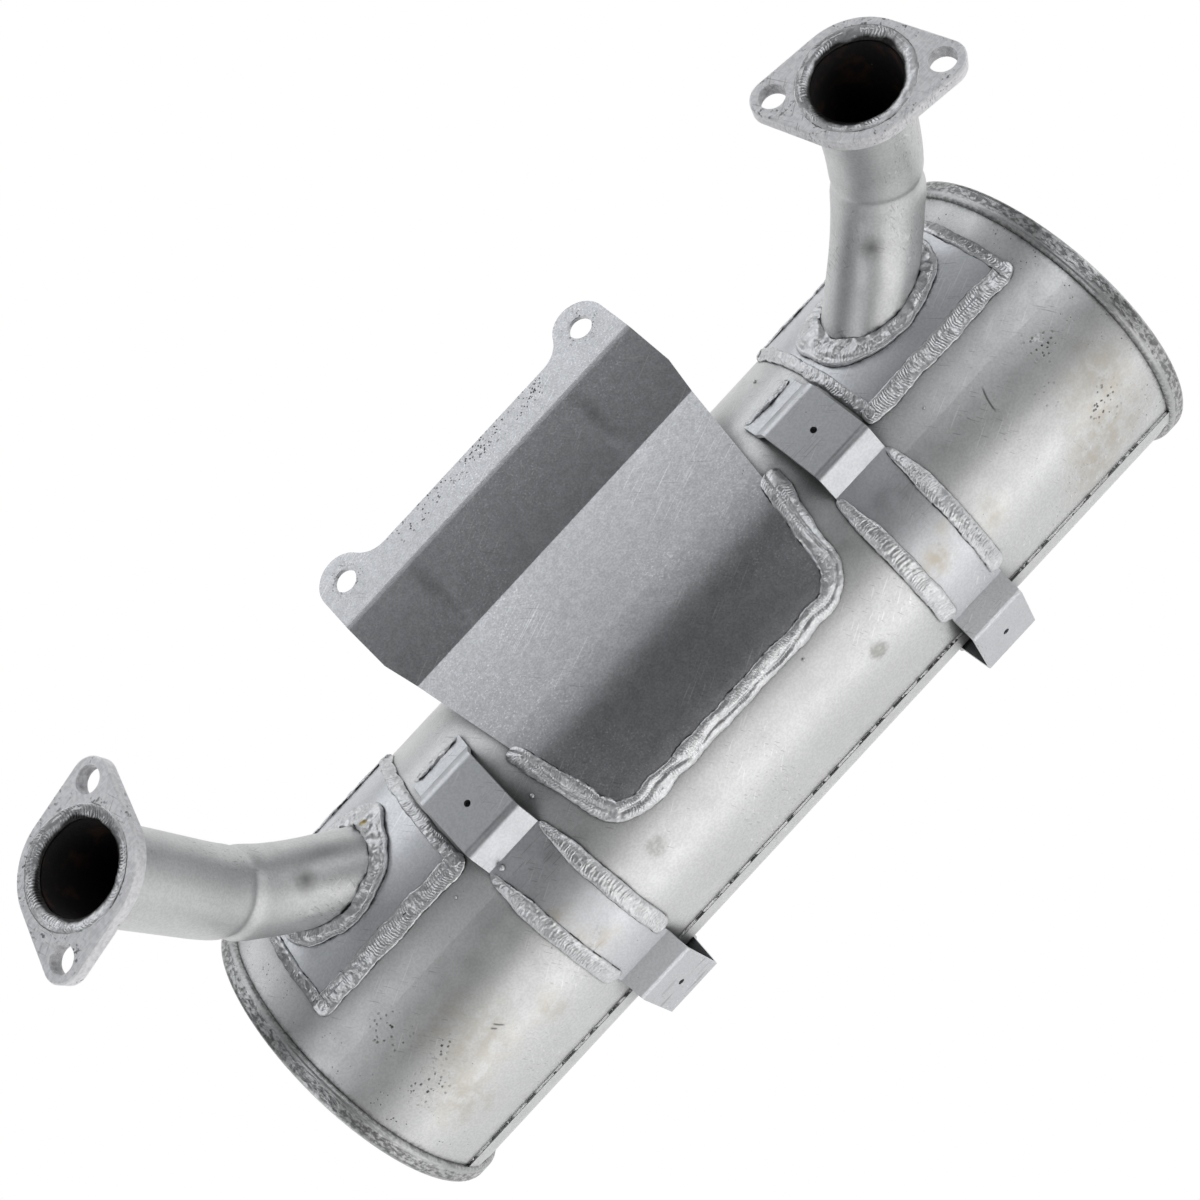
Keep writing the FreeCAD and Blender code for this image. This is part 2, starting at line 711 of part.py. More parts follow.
def make_outlet_weld(outlet_solid):
    """A fillet where the outlet leaves the shell."""
    way = outward(outlet_angle)
    foot = Vector(outlet_x, 0, 0) + way * shell_radius
    collar = weld_collar(foot, way, outlet_radius, shell_radius, outlet_weld_width,
                         outlet_weld_height, outlet_weld_roundness)
    return largest_solid(collar.cut(outlet_solid))


def make_all():
    pieces = {}
    shell_core = cylinder_x(shell_radius, body_length, -half_body)
    rods = {name: pipe_rod(name, pipe_radius) for name in SIDES}
    outlet_solid = outlet_rod(outlet_radius, 0, 2 * shell_radius)
    openings = list(rods.values()) + [outlet_solid]
    pieces["shell"] = make_shell(openings)
    bracket = make_bracket()
    pieces["bracket"] = on_mounting_middle(bracket)
    pieces["bracket_weld"] = on_mounting_middle(make_bracket_weld(bracket))
    for name, side in SIDES.items():
        pieces["end_cap_" + name] = make_end_cap(side)
        pieces["inlet_pipe_" + name] = make_pipe(name)
        pieces["pipe_weld_" + name] = make_pipe_weld(name, rods[name])
        pieces["flange_" + name] = make_flange(name)
        pieces["flange_weld_" + name] = make_flange_weld(name)
        saddle = make_saddle(side, rods[name])
        pieces["saddle_" + name] = saddle
        pieces["saddle_weld_" + name] = make_saddle_weld(side, saddle, pieces["pipe_weld_" + name])
        strap = make_strap(side)
        pieces["strap_" + name] = on_mounting_middle(strap)
        for place, bead in make_strap_welds(side, strap, shell_core).items():
            pieces["strap_weld_" + name + "_" + place] = on_mounting_middle(bead)
        pieces["baffle_" + name] = make_baffle(side)
        pieces["perforated_tube_" + name] = make_inner_tube(side)
    pieces["outlet_pipe"] = make_outlet_pipe()
    pieces["outlet_weld"] = make_outlet_weld(outlet_solid)
    return {name: in_part_frame(shape) for name, shape in pieces.items()}


def main():
    os.makedirs("parts", exist_ok=True)
    for name, shape in make_all().items():
        shape.exportStep("parts/" + name + ".step")
        print(name, "solids", len(shape.Solids), "valid", shape.isValid(),
              "volume", round(shape.Volume, 1))


main()
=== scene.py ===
# %% [markdown]
# # A welded engine muffler
# The muffler is a rolled steel can with two bent inlet pipes, a folded bracket and two
# strap brackets, all welded on and sprayed with silver heat paint. The exact sheets come
# from the CAD model. Blender adds what a welder and a spray gun leave behind: rippled
# beads, pits, scuffs, stains and soot. This first step loads the CAD pieces and keeps
# their overall box, which is printed at the end.

# %% Load the CAD pieces
import math

import bpy
from mathutils import Matrix, Quaternion, Vector, noise


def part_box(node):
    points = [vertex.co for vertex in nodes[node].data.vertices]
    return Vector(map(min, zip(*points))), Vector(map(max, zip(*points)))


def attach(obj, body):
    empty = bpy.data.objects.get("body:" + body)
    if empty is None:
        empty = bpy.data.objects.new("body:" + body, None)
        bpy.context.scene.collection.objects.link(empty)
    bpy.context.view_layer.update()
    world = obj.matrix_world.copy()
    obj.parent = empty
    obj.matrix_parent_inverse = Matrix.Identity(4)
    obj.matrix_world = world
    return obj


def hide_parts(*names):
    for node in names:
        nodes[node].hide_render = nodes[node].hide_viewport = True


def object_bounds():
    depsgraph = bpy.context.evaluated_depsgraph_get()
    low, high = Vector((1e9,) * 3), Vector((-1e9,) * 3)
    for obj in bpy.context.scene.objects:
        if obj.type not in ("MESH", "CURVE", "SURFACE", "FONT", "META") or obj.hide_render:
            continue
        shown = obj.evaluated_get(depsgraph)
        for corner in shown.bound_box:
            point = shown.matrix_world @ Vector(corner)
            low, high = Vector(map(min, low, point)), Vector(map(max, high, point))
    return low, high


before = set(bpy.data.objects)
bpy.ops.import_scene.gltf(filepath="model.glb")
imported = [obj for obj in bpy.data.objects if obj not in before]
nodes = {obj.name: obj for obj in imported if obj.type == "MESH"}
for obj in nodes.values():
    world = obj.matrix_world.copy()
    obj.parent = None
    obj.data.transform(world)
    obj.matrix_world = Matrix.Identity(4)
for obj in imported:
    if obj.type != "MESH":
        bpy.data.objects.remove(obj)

cad_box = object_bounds()
print("CAD pieces:", len(nodes))

# %% [markdown]
# Places on a round can are easiest to give as a distance along it and an angle round it.
# The part stands turned in its own frame, because its bolt face is square to Z, so one
# helper turns "so far along, so far round, so high" into a point. The two end caps are
# round, so the middle of their boxes is the can's axis.

# %% Find the can's axis
MM = 0.001
BOLT_FACE_SLOPE = math.radians(28.0)
CAN_RADIUS = 82.5

cap_boxes = [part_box("end_cap_right"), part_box("end_cap_left")]
can_middle = sum((corner for box in cap_boxes for corner in box), Vector()) / 4.0
lay_down = Matrix.Rotation(BOLT_FACE_SLOPE, 3, "X")


def from_can(x, y, z):
    """A point given in millimetres about the can's middle, before the part is turned."""
    return can_middle + lay_down @ Vector((x, y, z)) * MM


def round_way(angle):
    """The way straight out of the can at an angle in degrees."""
    turn = math.radians(angle)
    return lay_down @ Vector((0.0, math.sin(turn), math.cos(turn)))


def on_can(x, angle, height=0.0):
    """A point on the can's skin, or so many millimetres above it."""
    turn = math.radians(angle)
    reach = CAN_RADIUS + height
    return from_can(x, reach * math.sin(turn), reach * math.cos(turn))


print("can axis at", [round(v, 4) for v in can_middle])

# %% [markdown]
# The photograph looks almost straight down on the can, which runs from the lower left to
# the upper right. The three camera directions below were measured from the can's outline
# and rims, so the picture lines up without any lens shift.

# %% Camera
CAMERA_PLACE = (-4.119, 0.0, 704.84)
LENS_MM = 43.5
FILM_WIDTH_MM = 36.0

camera_data = bpy.data.cameras.new("camera")
camera = bpy.data.objects.new("camera", camera_data)
bpy.context.scene.collection.objects.link(camera)
bpy.context.scene.camera = camera
camera_data.sensor_width = FILM_WIDTH_MM
camera_data.lens = LENS_MM
camera_data.clip_start = 0.01
picture_right = lay_down @ Vector((0.67986, -0.73066, -0.06269))
picture_up = lay_down @ Vector((0.73334, 0.67745, 0.05728))
towards_viewer = lay_down @ Vector((0.00061, -0.08492, 0.99639))
turn = Matrix((picture_right, picture_up, towards_viewer)).transposed()
camera.matrix_world = turn.to_4x4()
camera.location = from_can(*CAMERA_PLACE)
print("camera at", [round(v, 3) for v in camera.location])

# %% [markdown]
# Silver paint shows mostly what is around it, so the room is nearly dark and lights almost
# nothing by itself. To the camera, the room and the pale floor look white. The floor looks
# white in reflections too, but it still takes the muffler's shadow.

# %% Floor and room
ROOM_COLOR = (0.62, 0.64, 0.67, 1.0)
ROOM_STRENGTH = 0.055
FLOOR_COLOR = (0.86, 0.86, 0.86, 1.0)
FLOOR_ROUGHNESS = 0.9
FLOOR_SIZE = 8.0
FLOOR_DROP = 0.12


def plain_material(name):
    material = bpy.data.materials.new(name)
    material.use_nodes = True
    return material


def white_to_rays(tree, real, white, rays, end):
    """Shows a white shader to some kinds of ray, and the real one to the rest."""
    path = tree.nodes.new("ShaderNodeLightPath")
    seen = path.outputs[rays[0]]
    for ray in rays[1:]:
        either = tree.nodes.new("ShaderNodeMath")
        either.operation = "MAXIMUM"
        tree.links.new(seen, either.inputs[0])
        tree.links.new(path.outputs[ray], either.inputs[1])
        seen = either.outputs[0]
    fade = tree.nodes.new("ShaderNodeMixShader")
    for output, entry in ((seen, fade.inputs["Fac"]), (real.outputs[0], fade.inputs[1]),
                          (white.outputs[0], fade.inputs[2]),
                          (fade.outputs[0], end.inputs["Surface"])):
        tree.links.new(output, entry)


bpy.context.scene.view_settings.view_transform = "Standard"
world = bpy.data.worlds.new("room")
bpy.context.scene.world = world
world.use_nodes = True
room = world.node_tree.nodes
room["Background"].inputs["Color"].default_value = ROOM_COLOR
room["Background"].inputs["Strength"].default_value = ROOM_STRENGTH
backdrop = room.new("ShaderNodeBackground")
backdrop.inputs["Color"].default_value = (1.0, 1.0, 1.0, 1.0)
white_to_rays(world.node_tree, room["Background"], backdrop, ["Is Camera Ray"],
              room["World Output"])

bpy.ops.object.select_all(action="DESELECT")
floor_height = cad_box[0][2] - FLOOR_DROP
bpy.ops.mesh.primitive_plane_add(size=FLOOR_SIZE, location=(0.0, 0.0, floor_height))
floor = bpy.context.object
floor.name = "floor"
floor_material = plain_material("floor_white")
floor.data.materials.append(floor_material)
coat = floor_material.node_tree.nodes
floor_paint = coat["Principled BSDF"]
floor_paint.inputs["Base Color"].default_value = FLOOR_COLOR
floor_paint.inputs["Roughness"].default_value = FLOOR_ROUGHNESS
white_to_rays(floor_material.node_tree, floor_paint, coat.new("ShaderNodeEmission"),
              ["Is Camera Ray", "Is Glossy Ray"], coat["Material Output"])
print("floor at", round(floor_height, 3))

# %% [markdown]
# In the photograph the middle of the can is dark, its two sides are bright and the ends
# brighten towards the rims. So long soft lamps stand beside the can, with a gap over its
# middle. The strengths were found by rendering each lamp alone and mixing them until the
# tones on the can agreed with the photograph.

# %% Lamps
LAMP_GAP = 1200.0
COOL = (0.97, 0.985, 1.0)
WARM = (1.0, 0.997, 0.985)
LOW_SIDE = ((-75, 3.0), (-50, 2.7), (-28, 0.42))
HIGH_SIDE = ((50, 1.2), (75, 3.6), (100, 3.4))
SIDE_LAMP_WIDTH = 0.42
END_LAMPS = ((1, 40, 2.2), (1, 75, 1.8), (-1, 40, 2.0), (-1, 75, 1.5))
END_LAMP_SIZE = (0.5, 0.9)
aim = from_can(0.0, 0.0, 0.0)


def soft_lamp(name, place, width, height, power, color):
    lamp_data = bpy.data.lights.new(name, "AREA")
    lamp_data.shape = "RECTANGLE"
    lamp_data.size = width
    lamp_data.size_y = height
    lamp_data.energy = power
    lamp_data.color = color
    lamp = bpy.data.objects.new(name, lamp_data)
    bpy.context.scene.collection.objects.link(lamp)
    lamp.location = place
    lamp.rotation_euler = (place - aim).to_track_quat("Z", "Y").to_euler()


def arc_place(degrees):
    """How far aside and how far up a lamp stands on its arc over the can."""
    turn = math.radians(degrees)
    return LAMP_GAP * math.sin(turn), LAMP_GAP * math.cos(turn)


for lamps, length, color in ((LOW_SIDE, 1.35, WARM), (HIGH_SIDE, 1.8, COOL)):
    for degrees, power in lamps:
        place = from_can(0.0, *arc_place(degrees))
        soft_lamp("lamp_beside_" + str(degrees), place, length, SIDE_LAMP_WIDTH, power, color)
for end, degrees, power in END_LAMPS:
    aside, up = arc_place(degrees)
    place = from_can(end * aside, 0.0, up)
    soft_lamp("lamp_end_" + str(end * degrees), place, *END_LAMP_SIZE, power, COOL)
print("lamps", len(bpy.data.lights))

# %% [markdown]
# Wiring shader nodes by hand takes many lines, so a small class does it. Each call adds a
# node and hands back its output, and a mask is such an output that runs from 0 to 1.
# Patterns use Object coordinates, which are the part's own metres, because every piece
# sits at the origin.

# %% Nodes in few words
class Wiring:
    """The nodes of one material. Sizes that end in _mm are millimetres."""

    def __init__(self, name):
        self.material = plain_material(name)
        self.tree = self.material.node_tree
        self.place = self.add("ShaderNodeTexCoord").outputs["Object"]

    def add(self, kind, sockets=None, **settings):
        """A new node. sockets gives its inputs a plain value or another node's output."""
        node = self.tree.nodes.new(kind)
        for key, value in settings.items():
            setattr(node, key, value)
        self.plug(node, sockets or {})
        return node

    def plug(self, node, sockets):
        for name, value in sockets.items():
            if isinstance(value, bpy.types.NodeSocket):
                self.tree.links.new(value, node.inputs[name])
            else:
                node.inputs[name].default_value = value

    def math(self, operation, first, second=0.0, third=0.0):
        sockets = {0: first, 1: second, 2: third}
        return self.add("ShaderNodeMath", sockets, operation=operation).outputs[0]

    def overlap(self, mask, *others):
        """One mask where all of them meet. A plain number makes it weaker."""
        for other in others:
            mask = self.math("MULTIPLY", mask, other)
        return mask

    def off(self, value, level):
        """How far a value is from a level, either way."""
        return self.math("ABSOLUTE", self.math("SUBTRACT", value, level))

    def along(self, axis):
        """One of the three Object coordinates, X along the can."""
        return self.add("ShaderNodeSeparateXYZ", {0: self.place}).outputs[axis]

    def number(self, name):
        """A number that the mesh itself carries at every point."""
        return self.add("ShaderNodeAttribute", attribute_name=name).outputs["Fac"]

    def distance(self, place, point):
        sockets = {0: place, 1: point}
        return self.add("ShaderNodeVectorMath", sockets, operation="DISTANCE").outputs["Value"]

    def noise(self, size_mm, detail=3.0, stretch=None):
        """Soft noise whose lumps are about this size."""
        vector = self.place
        if stretch is not None:
            vector = self.add("ShaderNodeMapping", {"Vector": vector, "Scale": stretch}).outputs[0]
        sockets = {"Vector": vector, "Scale": 1.0 / (size_mm * MM), "Detail": detail}
        return self.add("ShaderNodeTexNoise", sockets).outputs["Fac"]

    def cells(self, size_mm):
        sockets = {"Vector": self.place, "Scale": 1.0 / (size_mm * MM)}
        return self.add("ShaderNodeTexVoronoi", sockets).outputs["Distance"]

    def between(self, value, low, high, start=0.0, end=1.0):
        """Turns a range of values into a soft mask."""
        sockets = {"Value": value, "From Min": low, "From Max": high, "To Min": start,
                   "To Max": end}
        node = self.add("ShaderNodeMapRange", sockets, interpolation_type="SMOOTHSTEP")
        return node.outputs[0]

    def zone(self, distance, limits_mm, start=0.0, end=1.0):
        """A soft mask from one distance to another, both in millimetres."""
        low, high = limits_mm
        return self.between(distance, low * MM, high * MM, start, end)

    def patches(self, size_mm, detail, low, high, start=0.0, end=1.0):
        """Soft patches of about this size. low and high set how many there are."""
        return self.between(self.noise(size_mm, detail), low, high, start, end)

    def near(self, point, radius_mm, edge_mm, softness=0.7):
        """1 close to a point, fading to 0 past a radius, with a ragged edge."""
        ragged = self.math("MULTIPLY_ADD", self.noise(edge_mm, 2.0), edge_mm * MM,
                           self.distance(self.place, point))
        far = (radius_mm + 0.5 * edge_mm) * MM
        return self.between(ragged, far, far * (1.0 - softness))

    def openness(self, reach_mm):
        """Low where other surfaces stand within reach, and 1 in the open."""
        sockets = {"Distance": reach_mm * MM}
        return self.add("ShaderNodeAmbientOcclusion", sockets, samples=6).outputs["AO"]


print("wiring helpers", sum(callable(item) for item in vars(Wiring).values()))

# %% [markdown]
# Every finish here is sprayed or bare steel, so they share a few habits: a fine grain, a
# slow change of tone, small pits, thin scratches and painted shade in the corners. They go
# into a second class, so that a finish reads from top to bottom like a recipe.

# %% A recipe book for finishes
PIT_DEPTH = 0.12


def grey(level):
    return (level, level, level)


PIT_DARK = grey(0.05)
# The grey of the painted shade in corners.
CORNER_SHADE_GREY = grey(0.10)


class Finish(Wiring):
    """A material under construction: its colour, roughness and relief so far."""

    def __init__(self, name, color, metal, rough):
        super().__init__(name)
        self.paint = self.tree.nodes["Principled BSDF"]
        self.paint.inputs["Metallic"].default_value = metal
        self.color = (*color, 1.0)
        self.rough = rough
        self.relief = None

    def tint(self, color, *masks):
        """Lays a colour over what is there, where all the masks meet."""
        sockets = {0: self.overlap(*masks), 6: self.color, 7: (*color, 1.0)}
        self.color = self.add("ShaderNodeMix", sockets, data_type="RGBA").outputs[2]

    def shade(self, mask, low, high):
        """Multiplies the colour by a value between low and high."""
        level = self.between(mask, 0.0, 1.0, low, high)
        levels = self.add("ShaderNodeCombineColor", {"Red": level, "Green": level, "Blue": level})
        sockets = {0: 1.0, 6: self.color, 7: levels.outputs[0]}
        node = self.add("ShaderNodeMix", sockets, data_type="RGBA", blend_type="MULTIPLY")
        self.color = node.outputs[2]

    def raise_by(self, mask, height_mm):
        """Adds relief of a height to what is already there."""
        node = self.math("MULTIPLY", mask, height_mm * MM)
        self.relief = node if self.relief is None else self.math("ADD", self.relief, node)

    def pits(self, spacing_mm, size_mm, share, color=PIT_DARK):
        """Small dark specks, in patches."""
        uneven = self.math("MULTIPLY_ADD", self.noise(spacing_mm * 1.6, 1.0), 0.35,
                           self.cells(spacing_mm))
        size = 0.12 + size_mm / spacing_mm
        dot = self.between(uneven, size, size - 0.10)
        mask = self.overlap(dot, self.patches(spacing_mm * 6.0, 2.0, 0.66 - share, 0.72 - share))
        self.tint(color, mask)
        self.raise_by(mask, -PIT_DEPTH)

    def crowd_of_pits(self, spacing_mm, mask, size=0.30, share=0.0):
        """Many small pits wherever the mask lets them be."""
        uneven = self.math("MULTIPLY_ADD", self.noise(spacing_mm * 0.45, 2.0), 0.5,
                           self.cells(spacing_mm))
        dot = self.between(uneven, size + 0.19, size + 0.09)
        patch = self.patches(spacing_mm * 4.0, 2.0, 0.46 - share, 0.60 - share)
        spots = self.overlap(dot, patch, mask)
        self.tint(PIT_DARK, spots, 0.9)
        self.raise_by(spots, -PIT_DEPTH)

    def grain(self, size_mm, depth):
        """A sandy change of tone."""
        self.shade(self.patches(size_mm, 3.0, 0.32, 0.68), 1.0 - depth, 1.0 + depth)

    def scores(self, turn_degrees, long_mm, wide_mm, share, color, strength):
        """Straight thin scratches that lie about one way, in patches."""
        sockets = {"Vector": self.place, "Rotation": (0.0, 0.0, math.radians(turn_degrees)),
                   "Scale": (long_mm * MM, wide_mm * MM, 6.0 * wide_mm * MM)}
        drawn_out = self.add("ShaderNodeMapping", sockets, vector_type="TEXTURE").outputs[0]
        sockets = {"Vector": drawn_out, "Scale": 1.0, "Detail": 0.0}
        lines = self.add("ShaderNodeTexNoise", sockets).outputs["Fac"]
        thin = self.between(lines, 0.74 - share, 0.78 - share)
        self.tint(color, thin, self.patches(35.0, 2.0, 0.46, 0.60), strength)

    def flecks(self, color, strength):
        """Bright grains of flake, in broad patches in the middle of a sheet."""
        self.tint(color, self.patches(1.0, 1.0, 0.60, 0.70), self.patches(55.0, 2.0, 0.42, 0.60),
                  strength)

    def painted_corner_shade(self, reach_mm, color, strength):
        """Painted shade, broken up, that darkens the colour where two surfaces meet."""
        ragged = self.math("MULTIPLY_ADD", self.noise(2.2, 3.0), 0.7, self.openness(reach_mm))
        self.tint(color, self.between(ragged, 1.02, 0.70), strength)

    def painted_overhang_shade(self, reach_mm, darkest):
        """Soft painted shade where other pieces stand over the surface."""
        self.shade(self.between(self.openness(reach_mm), 0.45, 0.97), darkest, 1.0)

    def done(self):
        self.plug(self.paint, {"Base Color": self.color, "Roughness": self.rough})
        if self.relief is not None:
            bump = self.add("ShaderNodeBump", {"Distance": 1.0, "Height": self.relief})
            self.plug(self.paint, {"Normal": bump.outputs[0]})
        print("finish", self.material.name, "nodes", len(self.tree.nodes))
        return self.material


# %% [markdown]
# The silver paint is the main finish. It is a metallic flake in a dull binder: light grey,
# rough enough to blur every reflection. Over it come cloudy changes of tone, a sandy
# grain, dark pits in patches and straight faint scratches. On the small sheets it is a
# little bluer than on the can.

# %% Silver heat paint
CAN_SILVER = (0.635, 0.64, 0.64)
SHEET_SILVER = (0.63, 0.64, 0.665)
FLAKE_METAL = 0.85
SADDLE_SPECK = (-160.4, 23.3, 81.7)


def silver_paint(name, color, cloud, pit_share, rough, rough_change=0.04):
    finish = Finish(name, color, FLAKE_METAL, rough)
    finish.shade(finish.noise(45.0, 4.0), 1.0 - cloud, 1.0 + cloud)
    finish.grain(1.1, 0.055)
    finish.pits(6.5, 0.5, pit_share)
    finish.pits(3.0, 0.34, pit_share - 0.02)
    finish.scores(20.0, 26.0, 0.55, 0.015, grey(0.88), 0.5)
    finish.scores(-55.0, 14.0, 0.5, 0.0, grey(0.26), 0.5)
    finish.rough = finish.patches(9.0, 3.0, 0.25, 0.75, rough - rough_change,
                                  rough + rough_change)
    finish.raise_by(finish.noise(1.2, 3.0), 0.03)
    return finish


sheet = silver_paint("silver_sheet", SHEET_SILVER, cloud=0.04, pit_share=0.05, rough=0.36)
sheet.tint(PIT_DARK, sheet.near(from_can(*SADDLE_SPECK), 1.2, 1.0, 0.4))
# Painted shade in the corners where the sheets meet the can and the beads.
sheet.painted_corner_shade(3.0, CORNER_SHADE_GREY, 0.8)
sheet_material = sheet.done()

# %% [markdown]
# The bracket is the smoothest sheet and was handled most. Its paint is tighter, so the
# reflections on it are clearer and its toe falls almost to black. Bright grains of flake
# and fine straight scratches cover the middle. Two shallow dents cross its dark face, the
# bolted strip is scuffed along its edge, and the ears are speckled round the holes.

# %% Silver paint on the bracket
BRACKET_SILVER = (0.525, 0.53, 0.548)
BOLT_REACH = 82.0
EAR_RADIUS = 14.0
DENTS = ((56.3, 108.0, 42.0), (-52.2, 108.0, 42.0))
DENT_LENGTH = 30.0
DENT_WIDTH = 7.0
DENT_DEPTH = 0.6
STRIP_EDGE = (-12.5, -9.0)
STRIP_END = (62.0, 45.0)
SCUFFED_CORNER = (80.4, 46.1, 71.5)

bracket = silver_paint("silver_bracket", BRACKET_SILVER, cloud=0.03, pit_share=0.0, rough=0.30,
                       rough_change=0.015)
bracket.flecks((0.80, 0.81, 0.84), 0.70)
bracket.grain(0.9, 0.09)
bracket.scores(-38.0, 34.0, 0.5, 0.01, grey(0.85), 0.28)
bracket.scores(48.0, 9.0, 0.45, 0.01, grey(0.85), 0.25)
bracket.shade(bracket.patches(4.0, 4.0, 0.35, 0.65), 0.95, 1.04)
# Each dent is sunk a little and darkened, as painted shade in the hollow.
for dent_place in DENTS:
    middle = from_can(*dent_place)
    off_dent = bracket.math("SUBTRACT", bracket.along("X"), middle.x)
    wavy = bracket.math("MULTIPLY_ADD", bracket.noise(16.0, 2.0), 2.0 * MM, off_dent)
    dent = bracket.overlap(bracket.zone(bracket.off(wavy, 1.0 * MM), (DENT_WIDTH, 0.0)),
                           bracket.near(middle, DENT_LENGTH, 3.0, 0.9))
    bracket.raise_by(dent, -DENT_DEPTH)
    bracket.shade(dent, 1.0, 0.86)
off_middle = bracket.math("ABSOLUTE", bracket.along("X"))
strip_edge = bracket.overlap(bracket.zone(bracket.along("Y"), STRIP_EDGE),
                             bracket.zone(off_middle, STRIP_END))
bracket.crowd_of_pits(1.8, strip_edge, 0.37, 0.05)
for x in (-BOLT_REACH, BOLT_REACH):
    ear = bracket.near(Vector((x * MM, 0.0, 0.0)), EAR_RADIUS, 5.0, 0.6)
    bracket.crowd_of_pits(1.7, ear, 0.34, 0.08)
    bracket.shade(bracket.overlap(ear, bracket.patches(2.0, 4.0, 0.40, 0.65)), 1.0, 0.80)
corner = bracket.near(from_can(*SCUFFED_CORNER), 8.0, 6.0, 0.8)
bracket.crowd_of_pits(1.7, corner, 0.33, 0.06)
# Painted shade in the bracket's corners.
bracket.painted_corner_shade(2.5, CORNER_SHADE_GREY, 0.6)
bracket_material = bracket.done()

# %% [markdown]
# The can shows more of its life. Pits crowd near the two rims and near the welds, brown
# tints lie between the straps and the rims, and painted shade darkens the paint beside
# whatever stands on the can and along the crease at each rim. There are a grey oval and a
# fainter smudge where something was wiped off, three short bent scratches and a white
# scribble. Each mark is placed by its distance along the can and its angle round it.

# %% Marks for round pieces
STAIN = (0.46, 0.41, 0.33)
SCRATCH_WIDTH = (0.7, 0.1)


def hot_marks(finish, marks, strength):
    """Brown tints at (distance along, angle round, radius), mottled as heat leaves them."""
    mottle = finish.patches(6.0, 4.0, 0.36, 0.60, 0.25, 1.0)
    for x, angle, radius in marks:
        finish.tint(STAIN, finish.near(on_can(x, angle), radius, 18.0), mottle, strength)


def curved_scratch(finish, place, bend_centre, half_length):
    """A thin dark line through a place, bent round a centre."""
    off_line = finish.off(finish.distance(finish.place, bend_centre), (place - bend_centre).length)
    finish.tint(PIT_DARK, finish.zone(off_line, SCRATCH_WIDTH), 0.75,
                finish.near(place, half_length, 2.0, 0.4))


def rim_distance(finish):
    """How far along the can from its middle, either way, in metres."""
    return finish.off(finish.along("X"), can_middle.x)


def axis_distance(finish):
    """How far out from the can's centre line, in metres."""
    flat = finish.add("ShaderNodeVectorMath", {0: finish.place, 1: (0.0, 1.0, 1.0)},
                      operation="MULTIPLY")
    return finish.distance(flat.outputs[0], (0.0, can_middle.y, can_middle.z))


print("brown of the heat marks", STAIN)

# %% Silver paint on the hot can
HOT_PLACES = ((206.0, -43.0, 32.0), (187.0, -52.0, 24.0), (214.0, -28.0, 26.0),
              (140.0, -34.0, 14.0), (-182.0, -25.0, 30.0), (-205.0, -38.0, 24.0),
              (-150.0, -38.0, 14.0))
WIPED = ((62.0, -37.3, 5.6, 0.75), (-66.0, -26.5, 6.4, 0.42))
WIPED_GREY = (0.36, 0.36, 0.34)
WIPED_EDGE = (0.24, 0.24, 0.23)
CROWDS = ((-201.0, -5.0, 15.0), (-209.5, -25.1, 14.0), (-190.6, -19.7, 10.0),
          (207.6, -35.6, 15.0), (204.0, -8.0, 12.0), (190.0, -20.0, 10.0))
SCRATCHES = ((170.9, -7.4, 195.0, -12.6, 7.0), (-168.9, -28.3, -151.7, -21.1, 3.2),
             (-171.5, -28.0, -154.3, -20.4, 2.0))
SCRIBBLE = (204.3, -6.2)
RIM_PITS = (208.0, 230.0)
STRAP_PITS = (84.0, 100.0)
STRAP_PITS_FADE = (236.0, 120.0)
CAN_CREASE_SHADE = (233.5, 236.8)

can = silver_paint("silver_can", CAN_SILVER, cloud=0.06, pit_share=0.09, rough=0.38)
can.raise_by(can.noise(60.0, 1.0), 0.35)
hot_marks(can, HOT_PLACES, 0.50)
dusty = can.patches(1.5, 4.0, 0.36, 0.60, 0.45, 1.0)
for x, angle, radius, strength in WIPED:
    ring = can.near(on_can(x, angle), radius + 0.5, 4.0, 0.4)
    spot = can.near(on_can(x, angle), radius - 1.0, 4.0, 0.4)
    can.tint(WIPED_EDGE, ring, dusty, 0.8 * strength)
    can.tint(WIPED_GREY, spot, dusty, strength)
for x, angle, radius in CROWDS:
    can.crowd_of_pits(2.3, can.near(on_can(x, angle), radius, 8.0), 0.36, 0.10)
for x, angle, bend_x, bend_angle, half_length in SCRATCHES:
    curved_scratch(can, on_can(x, angle), on_can(bend_x, bend_angle), half_length)
can.tint(grey(0.95), can.near(on_can(*SCRIBBLE), 3.5, 3.0, 0.5),
         can.patches(1.6, 1.0, 0.54, 0.60), 0.8)
along_can = rim_distance(can)
can.crowd_of_pits(2.1, can.zone(along_can, RIM_PITS), 0.24)
by_straps = can.overlap(can.zone(along_can, STRAP_PITS),
                        can.zone(along_can, STRAP_PITS_FADE, 0.2, 0.8))
can.crowd_of_pits(2.6, by_straps, 0.12)
# Painted shade: a dark, gritty band along the crease where the can meets each rim.
ragged_reach = can.math("MULTIPLY_ADD", can.noise(5.0, 3.0), 4.0 * MM, along_can)
can.tint(grey(0.13), can.zone(ragged_reach, CAN_CREASE_SHADE),
         can.patches(1.6, 4.0, 0.38, 0.62, 0.0, 0.55))
# Painted shade in the corners, and soft painted shade beside the pieces that stand over the can.
can.painted_corner_shade(3.5, CORNER_SHADE_GREY, 0.6)
can.painted_overhang_shade(34.0, 0.40)
can_material = can.done()

# %% [markdown]
# The straps sit between two hot beads, which browned the paint on their long parts. They
# get the sheet's paint with tints and dark smudges of their own.

# %% Silver paint on the straps
STRAP_SILVER = (0.59, 0.60, 0.622)
STRAP_TINTS = ((107.0, -30.0, 13.0), (118.0, -22.0, 9.0), (-114.0, -33.0, 14.0),
               (-116.0, -18.0, 10.0))
STRAP_SMUDGES = ((-117.4, -33.2, 4.0), (-109.1, -30.9, 5.0), (112.0, -26.0, 3.5))

